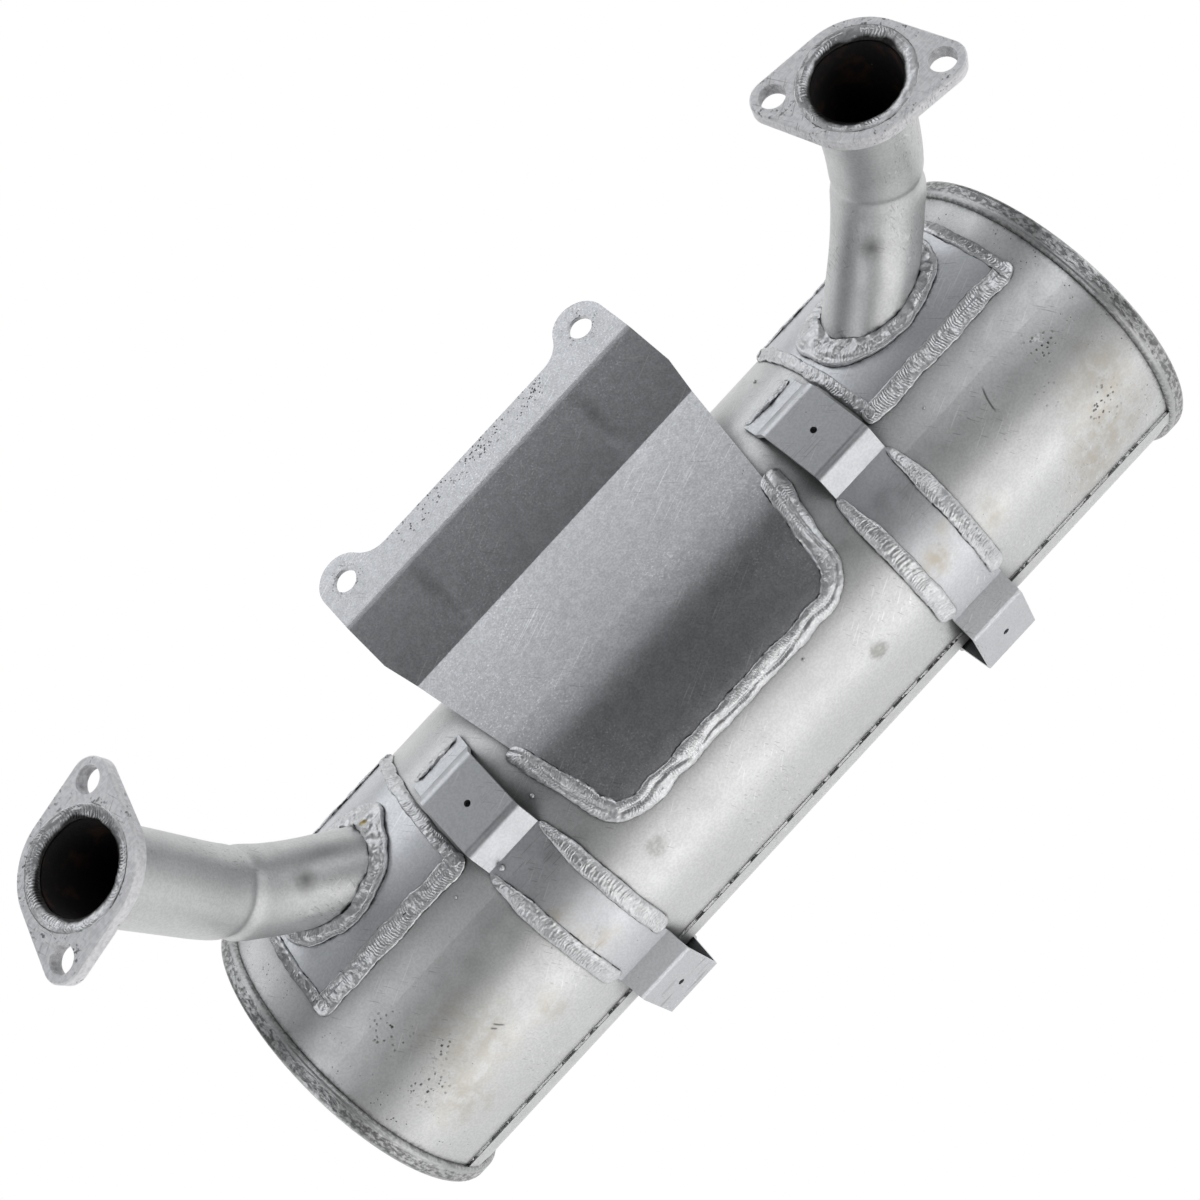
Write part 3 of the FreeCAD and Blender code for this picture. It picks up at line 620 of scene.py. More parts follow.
strap = silver_paint("silver_strap", STRAP_SILVER, cloud=0.05, pit_share=0.07, rough=0.37)
hot_marks(strap, STRAP_TINTS, 0.9)
for x, angle, radius in STRAP_SMUDGES:
    strap.tint((0.17, 0.14, 0.11), strap.near(on_can(x, angle), radius, 6.0, 0.95),
               strap.patches(2.0, 4.0, 0.42, 0.62), 0.8)
strap.scores(0.0, 12.0, 0.5, 0.04, (0.30, 0.29, 0.28), 0.5)
# Painted shade in the corners, and soft painted shade where other pieces stand over the straps.
strap.painted_corner_shade(3.0, CORNER_SHADE_GREY, 0.9)
strap.painted_overhang_shade(24.0, 0.65)
strap_material = strap.done()

# %% [markdown]
# The pipes are smoother tube with a duller coat and faint scratches. Each carries one dark
# smudge, where a gloved thumb rubbed it.

# %% Silver paint on the pipes
THUMB_MARKS = ((182.6, 69.2, 95.1), (-176.1, 63.1, 94.1))
THUMB_GREY = (0.20, 0.20, 0.195)

tube = silver_paint("silver_tube", CAN_SILVER, cloud=0.04, pit_share=0.06, rough=0.46)
for mark in THUMB_MARKS:
    tube.tint(THUMB_GREY, tube.near(from_can(*mark), 9.0, 4.0, 0.95), 0.75)
    tube.tint(grey(0.13), tube.near(from_can(*mark), 4.0, 5.0, 0.95), 0.35)
tube.scores(70.0, 9.0, 0.5, 0.02, grey(0.35), 0.6)
# Painted shade in the corners round the pipes.
tube.painted_corner_shade(3.5, CORNER_SHADE_GREY, 0.9)
tube_material = tube.done()

# %% [markdown]
# The rims of the end caps were rolled over the can's edge by a wheel. That leaves a crease
# beside the can, darkened with painted shade, a smooth lip, and then a scuffed band, gritty
# and mottled, where the wheel ran. The zones are told apart by the distance along the can.
# The distance from the can's axis keeps them on the outside of the rim and off the cap's
# own face.

# %% Scuffed rims
RIM_CREASE_SHADE = (235.8, 234.0)
SCUFF_START = (237.5, 239.0)
SCUFF_STOP = (244.6, 242.0)
RIM_OUTSIDE = (79.5, 82.0)

rim = silver_paint("silver_rim", CAN_SILVER, cloud=0.08, pit_share=0.16, rough=0.38)
from_middle = rim_distance(rim)
wander = rim.math("MULTIPLY_ADD", rim.noise(14.0, 4.0), 3.0 * MM, from_middle)
outside = rim.zone(axis_distance(rim), RIM_OUTSIDE)
scuffed = rim.overlap(rim.zone(wander, SCUFF_START), rim.zone(wander, SCUFF_STOP), outside)
grit = rim.between(rim.noise(3.2, 6.0, (2.2, 1.0, 1.0)), 0.36, 0.64)
rim.shade(rim.math("MULTIPLY_ADD", scuffed, -1.0, 1.0), 0.46, 1.04)
rim.shade(rim.overlap(scuffed, grit), 0.72, 1.75)
rim.tint((0.12, 0.12, 0.115), scuffed, rim.patches(1.8, 4.0, 0.56, 0.66), 0.6)
# Painted shade: a dark, gritty band in the crease beside the can.
rim.tint(grey(0.09), rim.zone(from_middle, RIM_CREASE_SHADE), outside,
         rim.patches(1.8, 4.0, 0.36, 0.62, 0.0, 0.6))
rim.raise_by(rim.overlap(grit, scuffed), 0.10)
rim.raise_by(rim.noise(6.0, 2.0), 0.25)
# Painted shade in the rim's corners.
rim.painted_corner_shade(3.5, CORNER_SHADE_GREY, 0.4)
rim_material = rim.done()

# %% [markdown]
# The flange faces were ground after painting, so they are paler and slightly purple, with
# grinding lines, small nicks, worn dark patches and a dark edge. Painted shade sits deep in
# the stud holes.

# %% Ground flanges
GROUND_STEEL = (0.93, 0.925, 0.945)

ground = Finish("ground_flange", GROUND_STEEL, 0.22, 0.44)
grind = ground.noise(14.0, 3.0, (1.0, 30.0, 8.0))
ground.shade(ground.between(grind, 0.3, 0.7), 0.94, 1.03)
ground.grain(1.8, 0.08)
ground.scores(30.0, 12.0, 0.5, 0.06, (0.30, 0.30, 0.31), 0.7)
ground.scores(-70.0, 8.0, 0.5, 0.05, (0.32, 0.32, 0.33), 0.7)
ground.pits(4.0, 0.5, 0.10)
ground.tint((0.25, 0.25, 0.26), ground.patches(1.6, 3.0, 0.56, 0.66),
            ground.patches(14.0, 3.0, 0.50, 0.60))
ground.raise_by(grind, 0.04)
# Painted shade with a long reach, so that it darkens the walls of the stud holes.
ground.painted_corner_shade(18.0, (0.14, 0.14, 0.15), 0.9)
ground_material = ground.done()

# %% [markdown]
# Weld metal freezes in ripples. The beads below carry three numbers at every point: how
# far along the joint it is, how far across the bead, and how near the bead's border. So
# the finish can lay its finest ripples square to the joint and draw the broken dark line
# round its border, which is partly a crack where the paint has not filled and partly
# painted shade in the undercut. In the flanges the beads are smoked by the exhaust, so
# they get a copy with soot on it.

# %% Painted weld metal
WELD_SILVER = (0.665, 0.67, 0.68)
FINE_RIPPLE = 1.3
# Near black for burnt pits, and for the dark line round each bead's border, which is partly
# painted shade.
BURNT_AND_UNDERCUT_SHADE = (0.02, 0.02, 0.02)
BURNT_PIT = (-149.3, 64.1, 61.4)
PIT_YELLOW = (0.42, 0.33, 0.14)
SMOKE = (0.035, 0.033, 0.032)


def weld_metal(name):
    bead = Finish(name, WELD_SILVER, FLAKE_METAL, 0.37)
    across = bead.number("across")
    border = bead.number("border")
    bow = bead.math("MULTIPLY_ADD", bead.overlap(across, across), -2.0, bead.number("along"))
    bow = bead.math("MULTIPLY_ADD", bead.noise(4.0, 2.0), 2.6, bow)
    ripple = bead.math("SINE", bead.math("MULTIPLY", bow, 2.0 * math.pi / FINE_RIPPLE))
    ripple = bead.overlap(ripple, bead.overlap(bead.patches(10.0, 2.0, 0.40, 0.58),
                                               bead.between(border, 0.92, 0.60)))
    bead.shade(bead.noise(3.0, 4.0), 0.86, 1.12)
    bead.grain(1.2, 0.08)
    # Painted light and shade: each ripple's crest is a little lighter and its hollow a little
    # darker.
    bead.shade(bead.math("MULTIPLY_ADD", ripple, 0.5, 0.5), 0.93, 1.07)
    bead.raise_by(ripple, 0.06)
    bead.raise_by(bead.noise(1.8, 4.0), 0.26)
    bead.pits(4.2, 0.5, 0.12, BURNT_AND_UNDERCUT_SHADE)
    # The broken dark line round the border: partly a crack where the paint has not filled, partly
    # painted shade in the undercut.
    ragged = bead.math("MULTIPLY_ADD", bead.noise(2.0, 2.0), 0.16, border)
    bead.tint(BURNT_AND_UNDERCUT_SHADE, bead.between(ragged, 0.95, 1.0), bead.patches(7.0, 3.0, 0.49, 0.55), 0.9)
    # Painted shade in the corners where the bead meets the sheet.
    bead.painted_corner_shade(1.6, grey(0.14), 0.5)
    return bead


painted = weld_metal("silver_weld")
painted.tint(PIT_YELLOW, painted.near(from_can(*BURNT_PIT), 2.6, 2.0, 0.4))
painted.tint(BURNT_AND_UNDERCUT_SHADE, painted.near(from_can(*BURNT_PIT), 1.1, 1.2, 0.4))
bead_material = painted.done()

smoked = weld_metal("smoked_weld")
smoke = smoked.math("MULTIPLY_ADD", smoked.noise(12.0, 4.0), 1.8, smoked.number("across"))
smoked.tint(SMOKE, smoked.between(smoke, 0.85, 0.25))
smoked_material = smoked.done()

# %% [markdown]
# Inside, the pipes carry soot: near black, with a little rust brown where it has flaked.
# The baffles and the perforated tubes inside the can are bare steel browned by heat.

# %% Soot and hidden steel
SOOT = (0.016, 0.014, 0.014)
RUST = (0.060, 0.030, 0.020)
INNER_STEEL = (0.34, 0.33, 0.32)
HEAT_BROWN = (0.20, 0.13, 0.09)

soot = Finish("soot", SOOT, 0.0, 0.85)
soot.tint(RUST, soot.patches(9.0, 4.0, 0.50, 0.68))
soot.pits(5.0, 0.5, 0.10, (0.45, 0.43, 0.40))
soot.raise_by(soot.noise(1.5, 3.0), 0.3)
soot_material = soot.done()

inner = Finish("inner_steel", INNER_STEEL, 0.7, 0.55)
inner.tint(HEAT_BROWN, inner.patches(20.0, 4.0, 0.48, 0.62))
inner.shade(inner.noise(3.0, 3.0), 0.85, 1.15)
inner.raise_by(inner.noise(1.5, 3.0), 0.1)
inner_material = inner.done()

# %% [markdown]
# The names of the CAD pieces say what they are, so the first word below that a name holds
# picks its finish. The welds and inlet pipes are replaced further down, and get theirs too.

# %% Each CAD piece gets its finish
FINISHES = {"_weld": bead_material, "end_cap": rim_material, "strap": strap_material,
            "baffle": inner_material, "perforated": inner_material, "shell": can_material,
            "bracket": bracket_material, "inlet": tube_material, "outlet": tube_material,
            "flange": ground_material, "saddle": sheet_material}

for name, node in nodes.items():
    material = next(finish for word, finish in FINISHES.items() if word in name)
    if not node.material_slots:
        node.data.materials.append(material)
    for slot in node.material_slots:
        slot.material = material
    print(name, material.name)

# %% [markdown]
# A bead of weld follows a joint between two sheets, rippled where each puddle froze. A
# plain tube with ripples painted on would look dead from the side, so every bead here has
# a real skin. It starts as a flat grid, as long as the joint and as wide as the bead. The
# grid is rolled up along the joint: most of its width becomes the crown, and the rest
# closes it underneath. A joint is a list of spots, and each spot gives the bead's inner
# edge, its outer edge and the way out of the metal.

# %% Even spots along a joint
def measure(spots, closed):
    """The joint's spots, and how far along it each one is, in metres."""
    line = spots + spots[:1] if closed else spots
    middles = [(inner + outer) * 0.5 for inner, outer, _ in line]
    reaches = [0.0]
    for first, second in zip(middles, middles[1:]):
        reaches.append(reaches[-1] + (second - first).length)
    return line, reaches


def even_spots(line, reaches, rings):
    """The same joint as rings + 1 spots, each with its distance along in millimetres."""
    result = []
    index = 0
    for step in range(rings + 1):
        reach = reaches[-1] * step / rings
        while index < len(reaches) - 2 and reaches[index + 1] < reach:
            index += 1
        share = (reach - reaches[index]) / max(reaches[index + 1] - reaches[index], 1e-9)
        inner, outer, out = (a.lerp(b, share) for a, b in zip(line[index], line[index + 1]))
        result.append((inner, outer, out.normalized(), reach / MM))
    return result


def luck(place, size_mm, kind=0):
    """Smooth chance between -1 and 1 that depends on the place and on the kind."""
    return noise.noise(place / (size_mm * MM) + Vector((17.0 * kind, 5.0 * kind, 0.0)))


print("luck at the can's middle", round(luck(can_middle, 10.0), 3))

# %% [markdown]
# Operators act on whatever is selected, so these helpers select just what they need. One
# stitches a finished skin shut and turns its faces outwards, one joins pieces into one,
# and one hands a piece in.

# %% Selecting, closing, joining and handing in
MERGE_GAP = 0.00001


def only_select(*objects):
    bpy.ops.object.select_all(action="DESELECT")
    for item in objects:
        item.select_set(True)
    if objects:
        bpy.context.view_layer.objects.active = objects[0]


def name_it(item, name):
    item.name = name
    item.data.name = name
    return item


def close_up(item):
    """Stitches the rolled grid's edges together and turns every face outwards."""
    only_select(item)
    bpy.ops.object.mode_set(mode="EDIT")
    bpy.ops.mesh.select_all(action="SELECT")
    bpy.ops.mesh.remove_doubles(threshold=MERGE_GAP)
    bpy.ops.mesh.fill_holes(sides=0)
    bpy.ops.mesh.select_all(action="SELECT")
    bpy.ops.mesh.normals_make_consistent(inside=False)
    bpy.ops.object.mode_set(mode="OBJECT")
    bpy.ops.object.shade_smooth()


def join_up(items, name):
    only_select(*items)
    bpy.ops.object.join()
    return name_it(bpy.context.object, name)


def hand_in(item, materials=(), stands_for=None):
    """Gives a finished piece its finish, its body and the CAD piece it stands for."""
    for material in materials:
        item.data.materials.append(material)
    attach(item, "root")
    if stands_for:
        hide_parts(stands_for)
    print(item.name, "faces", len(item.data.polygons))


# %% [markdown]
# The crown's height is worked out point by point: a dome across the bead, coarse ripples
# bowed like a stack of coins, lumps, and the rounded ends where the torch started and
# stopped. The two edges wander a little, each on its own.

# %% Rolling a bead up along its joint
AROUND = 26
CROWN_SHARE = 0.8
RING_STEP = 0.5


def dome(across, power):
    return math.sqrt(max(0.0, 1.0 - abs(across) ** power))


def round_end(gap, radius):
    """0 at a bead's end, growing to 1 like a ball of this radius."""
    if gap >= radius:
        return 1.0
    return math.sqrt(max(0.0, 1.0 - (1.0 - gap / radius) ** 2))


def edge_luck(place, kind):
    """How an edge of a bead wanders: slow bends and fine ones."""
    return luck(place, 11.0, kind) + 0.3 * luck(place, 2.5, kind + 2)


def roll_bead(name, spots, crown, wander=0.5, start=3.0, stop=3.0, closed=False, sink=0.6):
    """A bead over a joint. crown(across, reach, place) gives its height in millimetres."""
    line, reaches = measure(spots, closed)
    length = reaches[-1] / MM
    rings = round(length / RING_STEP)
    rails = even_spots(line, reaches, rings)
    only_select()
    bpy.ops.mesh.primitive_grid_add(x_subdivisions=rings, y_subdivisions=AROUND, size=1.0)
    bead = name_it(bpy.context.object, name)
    numbers = {"along": [], "across": [], "border": []}
    for vertex in bead.data.vertices:
        inner, outer, out, reach = rails[round((vertex.co.x + 0.5) * rings)]
        part = vertex.co.y + 0.5
        on_top = part <= CROWN_SHARE
        share = part / CROWN_SHARE if on_top else (1.0 - part) / (1.0 - CROWN_SHARE)
        across = 2.0 * share - 1.0
        middle = (inner + outer) * 0.5
        end = 1.0 if closed else round_end(reach, start) * round_end(length - reach, stop)
        side = (outer - inner) * 0.5 * end
        way = side.normalized() * wander * MM if end > 0.0 else side
        low = middle - side + way * edge_luck(middle, 1)
        high = middle + side + way * edge_luck(middle, 2)
        place = low.lerp(high, share)
        height = crown(across, reach, place) * end if on_top else -sink
        if part in (0.0, 1.0) or share in (0.0, 1.0):
            height = -0.3 * sink
        vertex.co = place + out * height * MM
        near_end = 0.0 if closed else 1.0 - min(reach / start, (length - reach) / stop, 1.0)
        numbers["along"].append(reach)
        numbers["across"].append(across)
        numbers["border"].append(max(abs(across), near_end))
    for label, values in numbers.items():
        bead.data.attributes.new(label, "FLOAT", "POINT").data.foreach_set("value", values)
    close_up(bead)
    return bead


def lay_weld(name, joint, crown, material=bead_material, **habits):
    """Rolls one bead and hands it in for the CAD weld of the same name."""
    hand_in(roll_bead(name, joint, crown, **habits), [material],
            name.replace("bead", "weld"))


# %% [markdown]
# The bracket's bead is the boldest: two ridges side by side with a wandering valley, like
# a loosely twisted rope. It runs down one tapered side, round the toe and up the other.
# The line is worked out flat, as seen from above, and then dropped on to the can. Its
# inner edge lies on the bracket and its outer edge on the can.

# %% The bracket's bead
MOUNTING_X = 2.0
BRACKET_SHEET = 2.5
BRACKET_TOE_ANGLE = -12.5
BRACKET_TOP_ANGLE = 27.2
TOE_HALF_WIDTH = 72.5
SIDE_TAPER = 0.2268
TOE_CORNER = 17.0
BRACKET_LAP = 4.2
BRACKET_SPILL = 6.2
BRACKET_TOP_SPREAD = 3.0


def bracket_half_width(y):
    return TOE_HALF_WIDTH + SIDE_TAPER * (y - 3.0)


def bracket_side_line(outside, spread=0.0):
    """(x, y) down the right side and round its toe corner, spread wider at the top."""
    toe_y, top_y = (CAN_RADIUS * math.sin(math.radians(angle))
                    for angle in (BRACKET_TOE_ANGLE, BRACKET_TOP_ANGLE))
    corner_y = toe_y + TOE_CORNER
    corner_x = bracket_half_width(corner_y) - TOE_CORNER
    flat = []
    for step in range(12):
        y = top_y + (corner_y - top_y) * step / 12.0
        wide = spread * math.exp(-((top_y - y) / 24.0) ** 2)
        flat.append((bracket_half_width(y) + outside + wide, y))
    for step in range(13):
        turn = math.radians(90.0 * step / 12.0)
        radius = TOE_CORNER + outside
        flat.append((corner_x + radius * math.cos(turn), corner_y - radius * math.sin(turn)))
    return flat


def drop_on_can(outside, spread, height):
    """The whole line round the bracket, dropped on to the can, with the way out there."""
    left_side = [(-x, y) for x, y in reversed(bracket_side_line(outside))]
    result = []
    for x, y in bracket_side_line(outside, spread) + left_side:
        angle = math.degrees(math.asin(y / CAN_RADIUS))
        result.append((on_can(MOUNTING_X + x, angle, height), round_way(angle)))
    return result


def rope_crown(across, reach, place):
    """Two ridges and a valley that wanders between them."""
    height = 2.3 * dome(across, 3.0) * (1.0 + 0.25 * luck(place, 12.0, 3))
    valley = 0.10 + 0.60 * luck(place, 20.0, 4)
    depth = 1.2 * max(0.0, 0.7 + 1.0 * luck(place, 11.0, 5))
    height -= depth * math.exp(-((across - valley) / 0.16) ** 2)
    height += 0.36 * luck(place, 4.0, 6) * dome(across, 2.0) + 0.16 * luck(place, 1.3, 7)
    return max(height, 0.15)


inner_line = drop_on_can(-BRACKET_LAP, 0.0, BRACKET_SHEET)
outer_line = drop_on_can(BRACKET_SPILL, BRACKET_TOP_SPREAD, 0.0)
bracket_joint = [(inner, outer, out) for (inner, out), (outer, _) in zip(inner_line, outer_line)]
lay_weld("bracket_bead", bracket_joint, rope_crown, wander=1.5, start=5.5, stop=5.0)

# %% [markdown]
# Each saddle plate is closed by four beads that run over each other's ends. The long low
# one is wide and flat with fine ripples; the other three are narrower. They are rolled one
# by one and then joined into one piece for each plate. Every bead along a sheet's edge has
# the same kind of joint, which laps on to the sheet and spills on to the can.

# %% The saddle plates' beads
SADDLE_X = {"right": (133.7, 217.0), "left": (-213.0, -129.7)}
SADDLE_LOW = 15.5
SADDLE_HIGH = 75.0
SADDLE_SHEET = 2.5
END_LAP = 2.4
END_SPILL = 4.2


def round_degrees(reach_mm):
    """A distance round the can's skin, as degrees."""
    return math.degrees(reach_mm / CAN_RADIUS)


def edge_joint(first, last, lap, spill, sheet, steps=30, fullness=None):
    """Joint along a sheet's edge, between two (x, angle). lap and spill are (mm along, mm
    round), and fullness(share of the way) narrows the bead there."""
    spots = []
    for step in range(steps + 1):
        x, angle = (a + (b - a) * step / steps for a, b in zip(first, last))
        full = fullness(step / steps) if fullness else 1.0
        spots.append((on_can(x - lap[0] * full, angle - round_degrees(lap[1] * full), sheet),
                      on_can(x + spill[0] * full, angle + round_degrees(spill[1] * full)),
                      round_way(angle)))
    return spots


def flat_crown(height, ripple, pitch, lumps):
    """A broad crown with bowed ripples."""
    def crown(across, reach, place):
        top = height * dome(across, 3.2) * (1.0 + 0.25 * luck(place, 9.0, 1))
        phase = (reach - 2.2 * across ** 2) / pitch + 0.5 * luck(place, 6.0, 2)
        top += ripple * dome(across, 2.0) * math.sin(2.0 * math.pi * phase)
        return max(0.1, top + lumps * luck(place, 2.6, 3) + 0.5 * lumps * luck(place, 1.1, 4))
    return crown


def saddle_beads(x_low, x_high):
    bottom = SADDLE_LOW - 0.6 * round_degrees(4.5)
    top = SADDLE_HIGH + 0.6 * round_degrees(4.5)
    low = edge_joint((x_low - 4.8, SADDLE_LOW), (x_high + 4.8, SADDLE_LOW), (0.0, -4.0),
                     (0.0, -5.4), SADDLE_SHEET)
    high = edge_joint((x_low - 4.0, SADDLE_HIGH), (x_high + 4.0, SADDLE_HIGH), (0.0, 2.6),
                      (0.0, 5.0), SADDLE_SHEET)
    beads = [roll_bead("low", low, flat_crown(1.2, 0.045, 1.5, 0.24), wander=1.2, start=6.0,
                       stop=6.0)]
    narrow = flat_crown(1.7, 0.06, 2.4, 0.45)
    beads.append(roll_bead("high", high, narrow, wander=0.9))
    for x, way in ((x_low, -1.0), (x_high, 1.0)):
        end = edge_joint((x, bottom), (x, top), (END_LAP * way, 0.0), (END_SPILL * way, 0.0),
                         SADDLE_SHEET)
        beads.append(roll_bead("end", end, narrow, wander=0.9))
    return beads


for side, ends in SADDLE_X.items():
    saddle_bead = join_up(saddle_beads(*ends), "saddle_bead_" + side)
    hand_in(saddle_bead, [bead_material], "saddle_weld_" + side)

# %% [markdown]
# Each strap is held by a bead along each edge of its long part and one across each foot.
# The long beads start as a point at the hat and end in a rounded thumb.

# %% The straps' beads
WAYS = {"right": 1.0, "left": -1.0}
STRAP_X = {"inner": 93.7, "outer": 124.2}
STRAP_SHEET = 2.0
STRAP_BEAD_TOP = 5.2
STRAP_BEAD_LOW = -50.6
STRAP_LAP = 4.4
STRAP_SPILL = 5.2
FOOT_LAP = 2.0
FOOT_SPILL = 3.2
FOOT_ANGLES = {"top": 45.5, "bottom": -92.4}


def from_a_point(share):
    """Narrow at the bead's upper end, and soon full."""
    return min(1.0, 0.35 + 2.6 * share)


def strap_crown(across, reach, place):
    early = min(1.0, 0.5 + reach / 22.0)
    top = 2.1 * dome(across, 3.4) * early * (1.0 + 0.12 * luck(place, 10.0, 1))
    phase = (reach - 2.6 * across ** 2) / 1.9 + 0.8 * luck(place, 7.0, 2)
    top += 0.10 * early * dome(across, 2.0) * math.sin(2.0 * math.pi * phase)
    return max(0.1, top + 0.32 * luck(place, 2.6, 3) + 0.16 * luck(place, 1.1, 4))


for side, way in WAYS.items():
    for edge, reach in STRAP_X.items():
        out = way if edge == "outer" else -way
        x = way * reach + MOUNTING_X
        joint = edge_joint((x, STRAP_BEAD_TOP), (x, STRAP_BEAD_LOW), (STRAP_LAP * out, 0.0),
                           (STRAP_SPILL * out, 0.0), STRAP_SHEET, 40, from_a_point)
        lay_weld("strap_bead_" + side + "_" + edge, joint, strap_crown, wander=0.6, stop=5.0)
    ends = [way * reach + MOUNTING_X
            for reach in (STRAP_X["inner"] + 1.0, STRAP_X["outer"] - 1.0)]
    for edge, angle in FOOT_ANGLES.items():
        out = math.copysign(1.0, angle)
        joint = edge_joint((ends[0], angle), (ends[1], angle), (0.0, FOOT_LAP * out),
                           (0.0, FOOT_SPILL * out), STRAP_SHEET, 12)
        lay_weld("strap_bead_" + side + "_" + edge, joint, flat_crown(1.5, 0.10, 2.2, 0.8),
                 wander=1.4, start=2.5, stop=2.5)

# %% [markdown]
# The inlet pipes are bent tube. Each leaves its flange square to the face, turns in one
# bend and runs straight down to its saddle plate. The flanges' places and the way they
# face were measured, and the bend's start, end and centre follow from them.

# %% Where the pipes run
PIPE_RADIUS = 20.0
PIPE_WALL = 1.75
PIPE_END_RECESS = 2.6
FOOT_X = 174.5
FOOT_ANGLE = 43.0
FLANGES = {
    "right": dict(from_foot=(33.0, 52.43, 97.83), facing=(-0.010, 0.343, 0.939),
                  knee_depth=76.5, bend_radius=84.0, crease=62.5),
    "left": dict(from_foot=(-31.5, 60.63, 122.83), facing=(-0.052, 0.405, 0.913),
                 knee_depth=101.0, bend_radius=108.0, crease=87.0),
}


def pipe_route(side):
    """End, start and end of the bend, foot, bend centre and axis, and the flange's face."""
    place = FLANGES[side]
    facing = (lay_down @ Vector(place["facing"])).normalized()
    foot = on_can(WAYS[side] * FOOT_X, FOOT_ANGLE, SADDLE_SHEET)
    face = foot + lay_down @ Vector(place["from_foot"]) * MM
    knee = face - facing * place["knee_depth"] * MM
    back = (face - knee).normalized()
    ahead = (foot - knee).normalized()
    half = 0.5 * back.angle(ahead)
    radius = place["bend_radius"] * MM
    reach = radius / math.tan(half)
    middle = (back + ahead).normalized()
    return dict(end=face - facing * PIPE_END_RECESS * MM, first=knee + back * reach,
                last=knee + ahead * reach, foot=foot, facing=facing, ahead=ahead,
                center=knee + middle * (radius / math.sin(half)),
                axis=back.cross(ahead).normalized(), turn=math.pi - 2.0 * half,
                radius=radius, face=face, crease=place["crease"])


routes = {side: pipe_route(side) for side in FLANGES}
for side, route in routes.items():
    print("pipe", side, "bends", round(math.degrees(route["turn"]), 1), "degrees")

# %% [markdown]
# Half way round the bend each pipe has a fine crease where the bending tool let go, with a
# slight bulge after it. So each pipe is made as a bender would: a circle is pushed
# straight, spun round the bend in small steps and pushed straight again, and each new ring
# is squeezed or let out a little.

# %% A tube bender
BEND_STEP = 0.9
PUSH_STEP = 3.0


def squeeze(reach, crease):
    """How wide the tube is at a distance along it, as a share of its size."""
    gap = reach - crease
    narrow = 0.014 * min(1.0, reach / 20.0) if gap < 0.0 else 0.0
    pinch = 0.052 * math.exp(-(gap / (5.0 if gap < 0.0 else 1.1)) ** 2)
    bulge = 0.012 * math.exp(-((gap - 6.0) / 4.0) ** 2)
    return 1.0 - pinch + bulge - narrow


class TubeBender:
    """Adds ring after ring to the open end of a tube that is being edited."""

    def __init__(self, route):
        self.route = route
        self.reach = 0.0
        self.size = 1.0
        self.middle = route["end"].copy()

    def fit(self, step):
        self.reach += step / MM
        size = squeeze(self.reach, self.route["crease"])
        ratio = size / self.size
        bpy.ops.transform.resize(value=(ratio, ratio, ratio), center_override=self.middle)
        self.size = size

    def push(self, way, length):
        steps = max(2, round(length / (PUSH_STEP * MM)))
        for _ in range(steps):
            shift = way * (length / steps)
            bpy.ops.mesh.extrude_region_move(TRANSFORM_OT_translate={"value": tuple(shift)})
            self.middle += shift
            self.fit(length / steps)

    def bend(self):
        route = self.route
        steps = round(route["turn"] * route["radius"] / (BEND_STEP * MM))
        part = route["turn"] / steps
        for _ in range(steps):
            bpy.ops.mesh.spin(steps=1, angle=part, center=route["center"], axis=route["axis"])
            swing = Quaternion(route["axis"], part)
            self.middle = route["center"] + swing @ (self.middle - route["center"])
            self.fit(part * route["radius"])


print("tube at the crease", round(squeeze(0.0, 0.0), 3), "of its size")

# %% [markdown]
# The bender starts at the flange, and the pipe's foot runs on through the saddle plate
# into the can. Solidify then gives the wall and puts soot on the inner skin, because the
# pipes are black inside.

# %% Bend the pipes
FOOT_REACH = 16.0
PIPE_SIDES = 72


def bend_pipe(name, route):
    only_select()
    lean = route["facing"].to_track_quat("Z", "Y").to_euler()
    bpy.ops.mesh.primitive_circle_add(vertices=PIPE_SIDES, radius=PIPE_RADIUS * MM,
                                      fill_type="NOTHING", location=route["end"], rotation=lean)
    pipe = name_it(bpy.context.object, name)
    bpy.ops.object.transform_apply(location=True, rotation=True, scale=True)
    bpy.ops.object.mode_set(mode="EDIT")
    bpy.ops.mesh.select_all(action="SELECT")
    bender = TubeBender(route)
    bender.push(-route["facing"], (route["first"] - route["end"]).length)
    bender.bend()
    bender.push(route["ahead"], (route["foot"] - route["last"]).length + FOOT_REACH * MM)
    bpy.ops.mesh.select_all(action="SELECT")
    bpy.ops.mesh.remove_doubles(threshold=MERGE_GAP)
    bpy.ops.mesh.normals_make_consistent(inside=False)
    bpy.ops.object.mode_set(mode="OBJECT")
    print(name, "length", round(bender.reach, 1), "mm")
    return pipe


for side, route in routes.items():
    pipe = bend_pipe("inlet_tube_" + side, route)
    pipe.data.materials.append(tube_material)
    pipe.data.materials.append(soot_material)
    wall = pipe.modifiers.new("wall", "SOLIDIFY")
    wall.thickness = PIPE_WALL * MM
    wall.offset = -1.0
    wall.material_offset = 1
    only_select(pipe)
    bpy.ops.object.modifier_apply(modifier=wall.name)
    bpy.ops.object.shade_smooth_by_angle(angle=math.radians(40.0))
    hand_in(pipe, stands_for="inlet_pipe_" + side)

# %% [markdown]
# Where a pipe meets its saddle plate the welder went round more than once. There is a thin
# ridge on the outside, a groove, and then a rough mass that climbs the pipe, with one
# heavy blob where the pass ended. The joint's inner edge runs on the pipe and its outer
# edge on the plate, both found by following the pipe's own direction down to the skin.

# %% The collars round the pipes
ROUND_STEP = 3.0
ROUND_STEPS = 120
PIPE_CLIMB = 3.6
PIPE_SPILL = 6.2


def ways_round(axis, start):
    """Steps round an axis: the degrees turned and the way out."""
    start = (start - axis * start.dot(axis)).normalized()
    aside = axis.cross(start)
    for step in range(ROUND_STEPS):
        turn = math.radians(ROUND_STEP * step)
        yield ROUND_STEP * step, start * math.cos(turn) + aside * math.sin(turn)


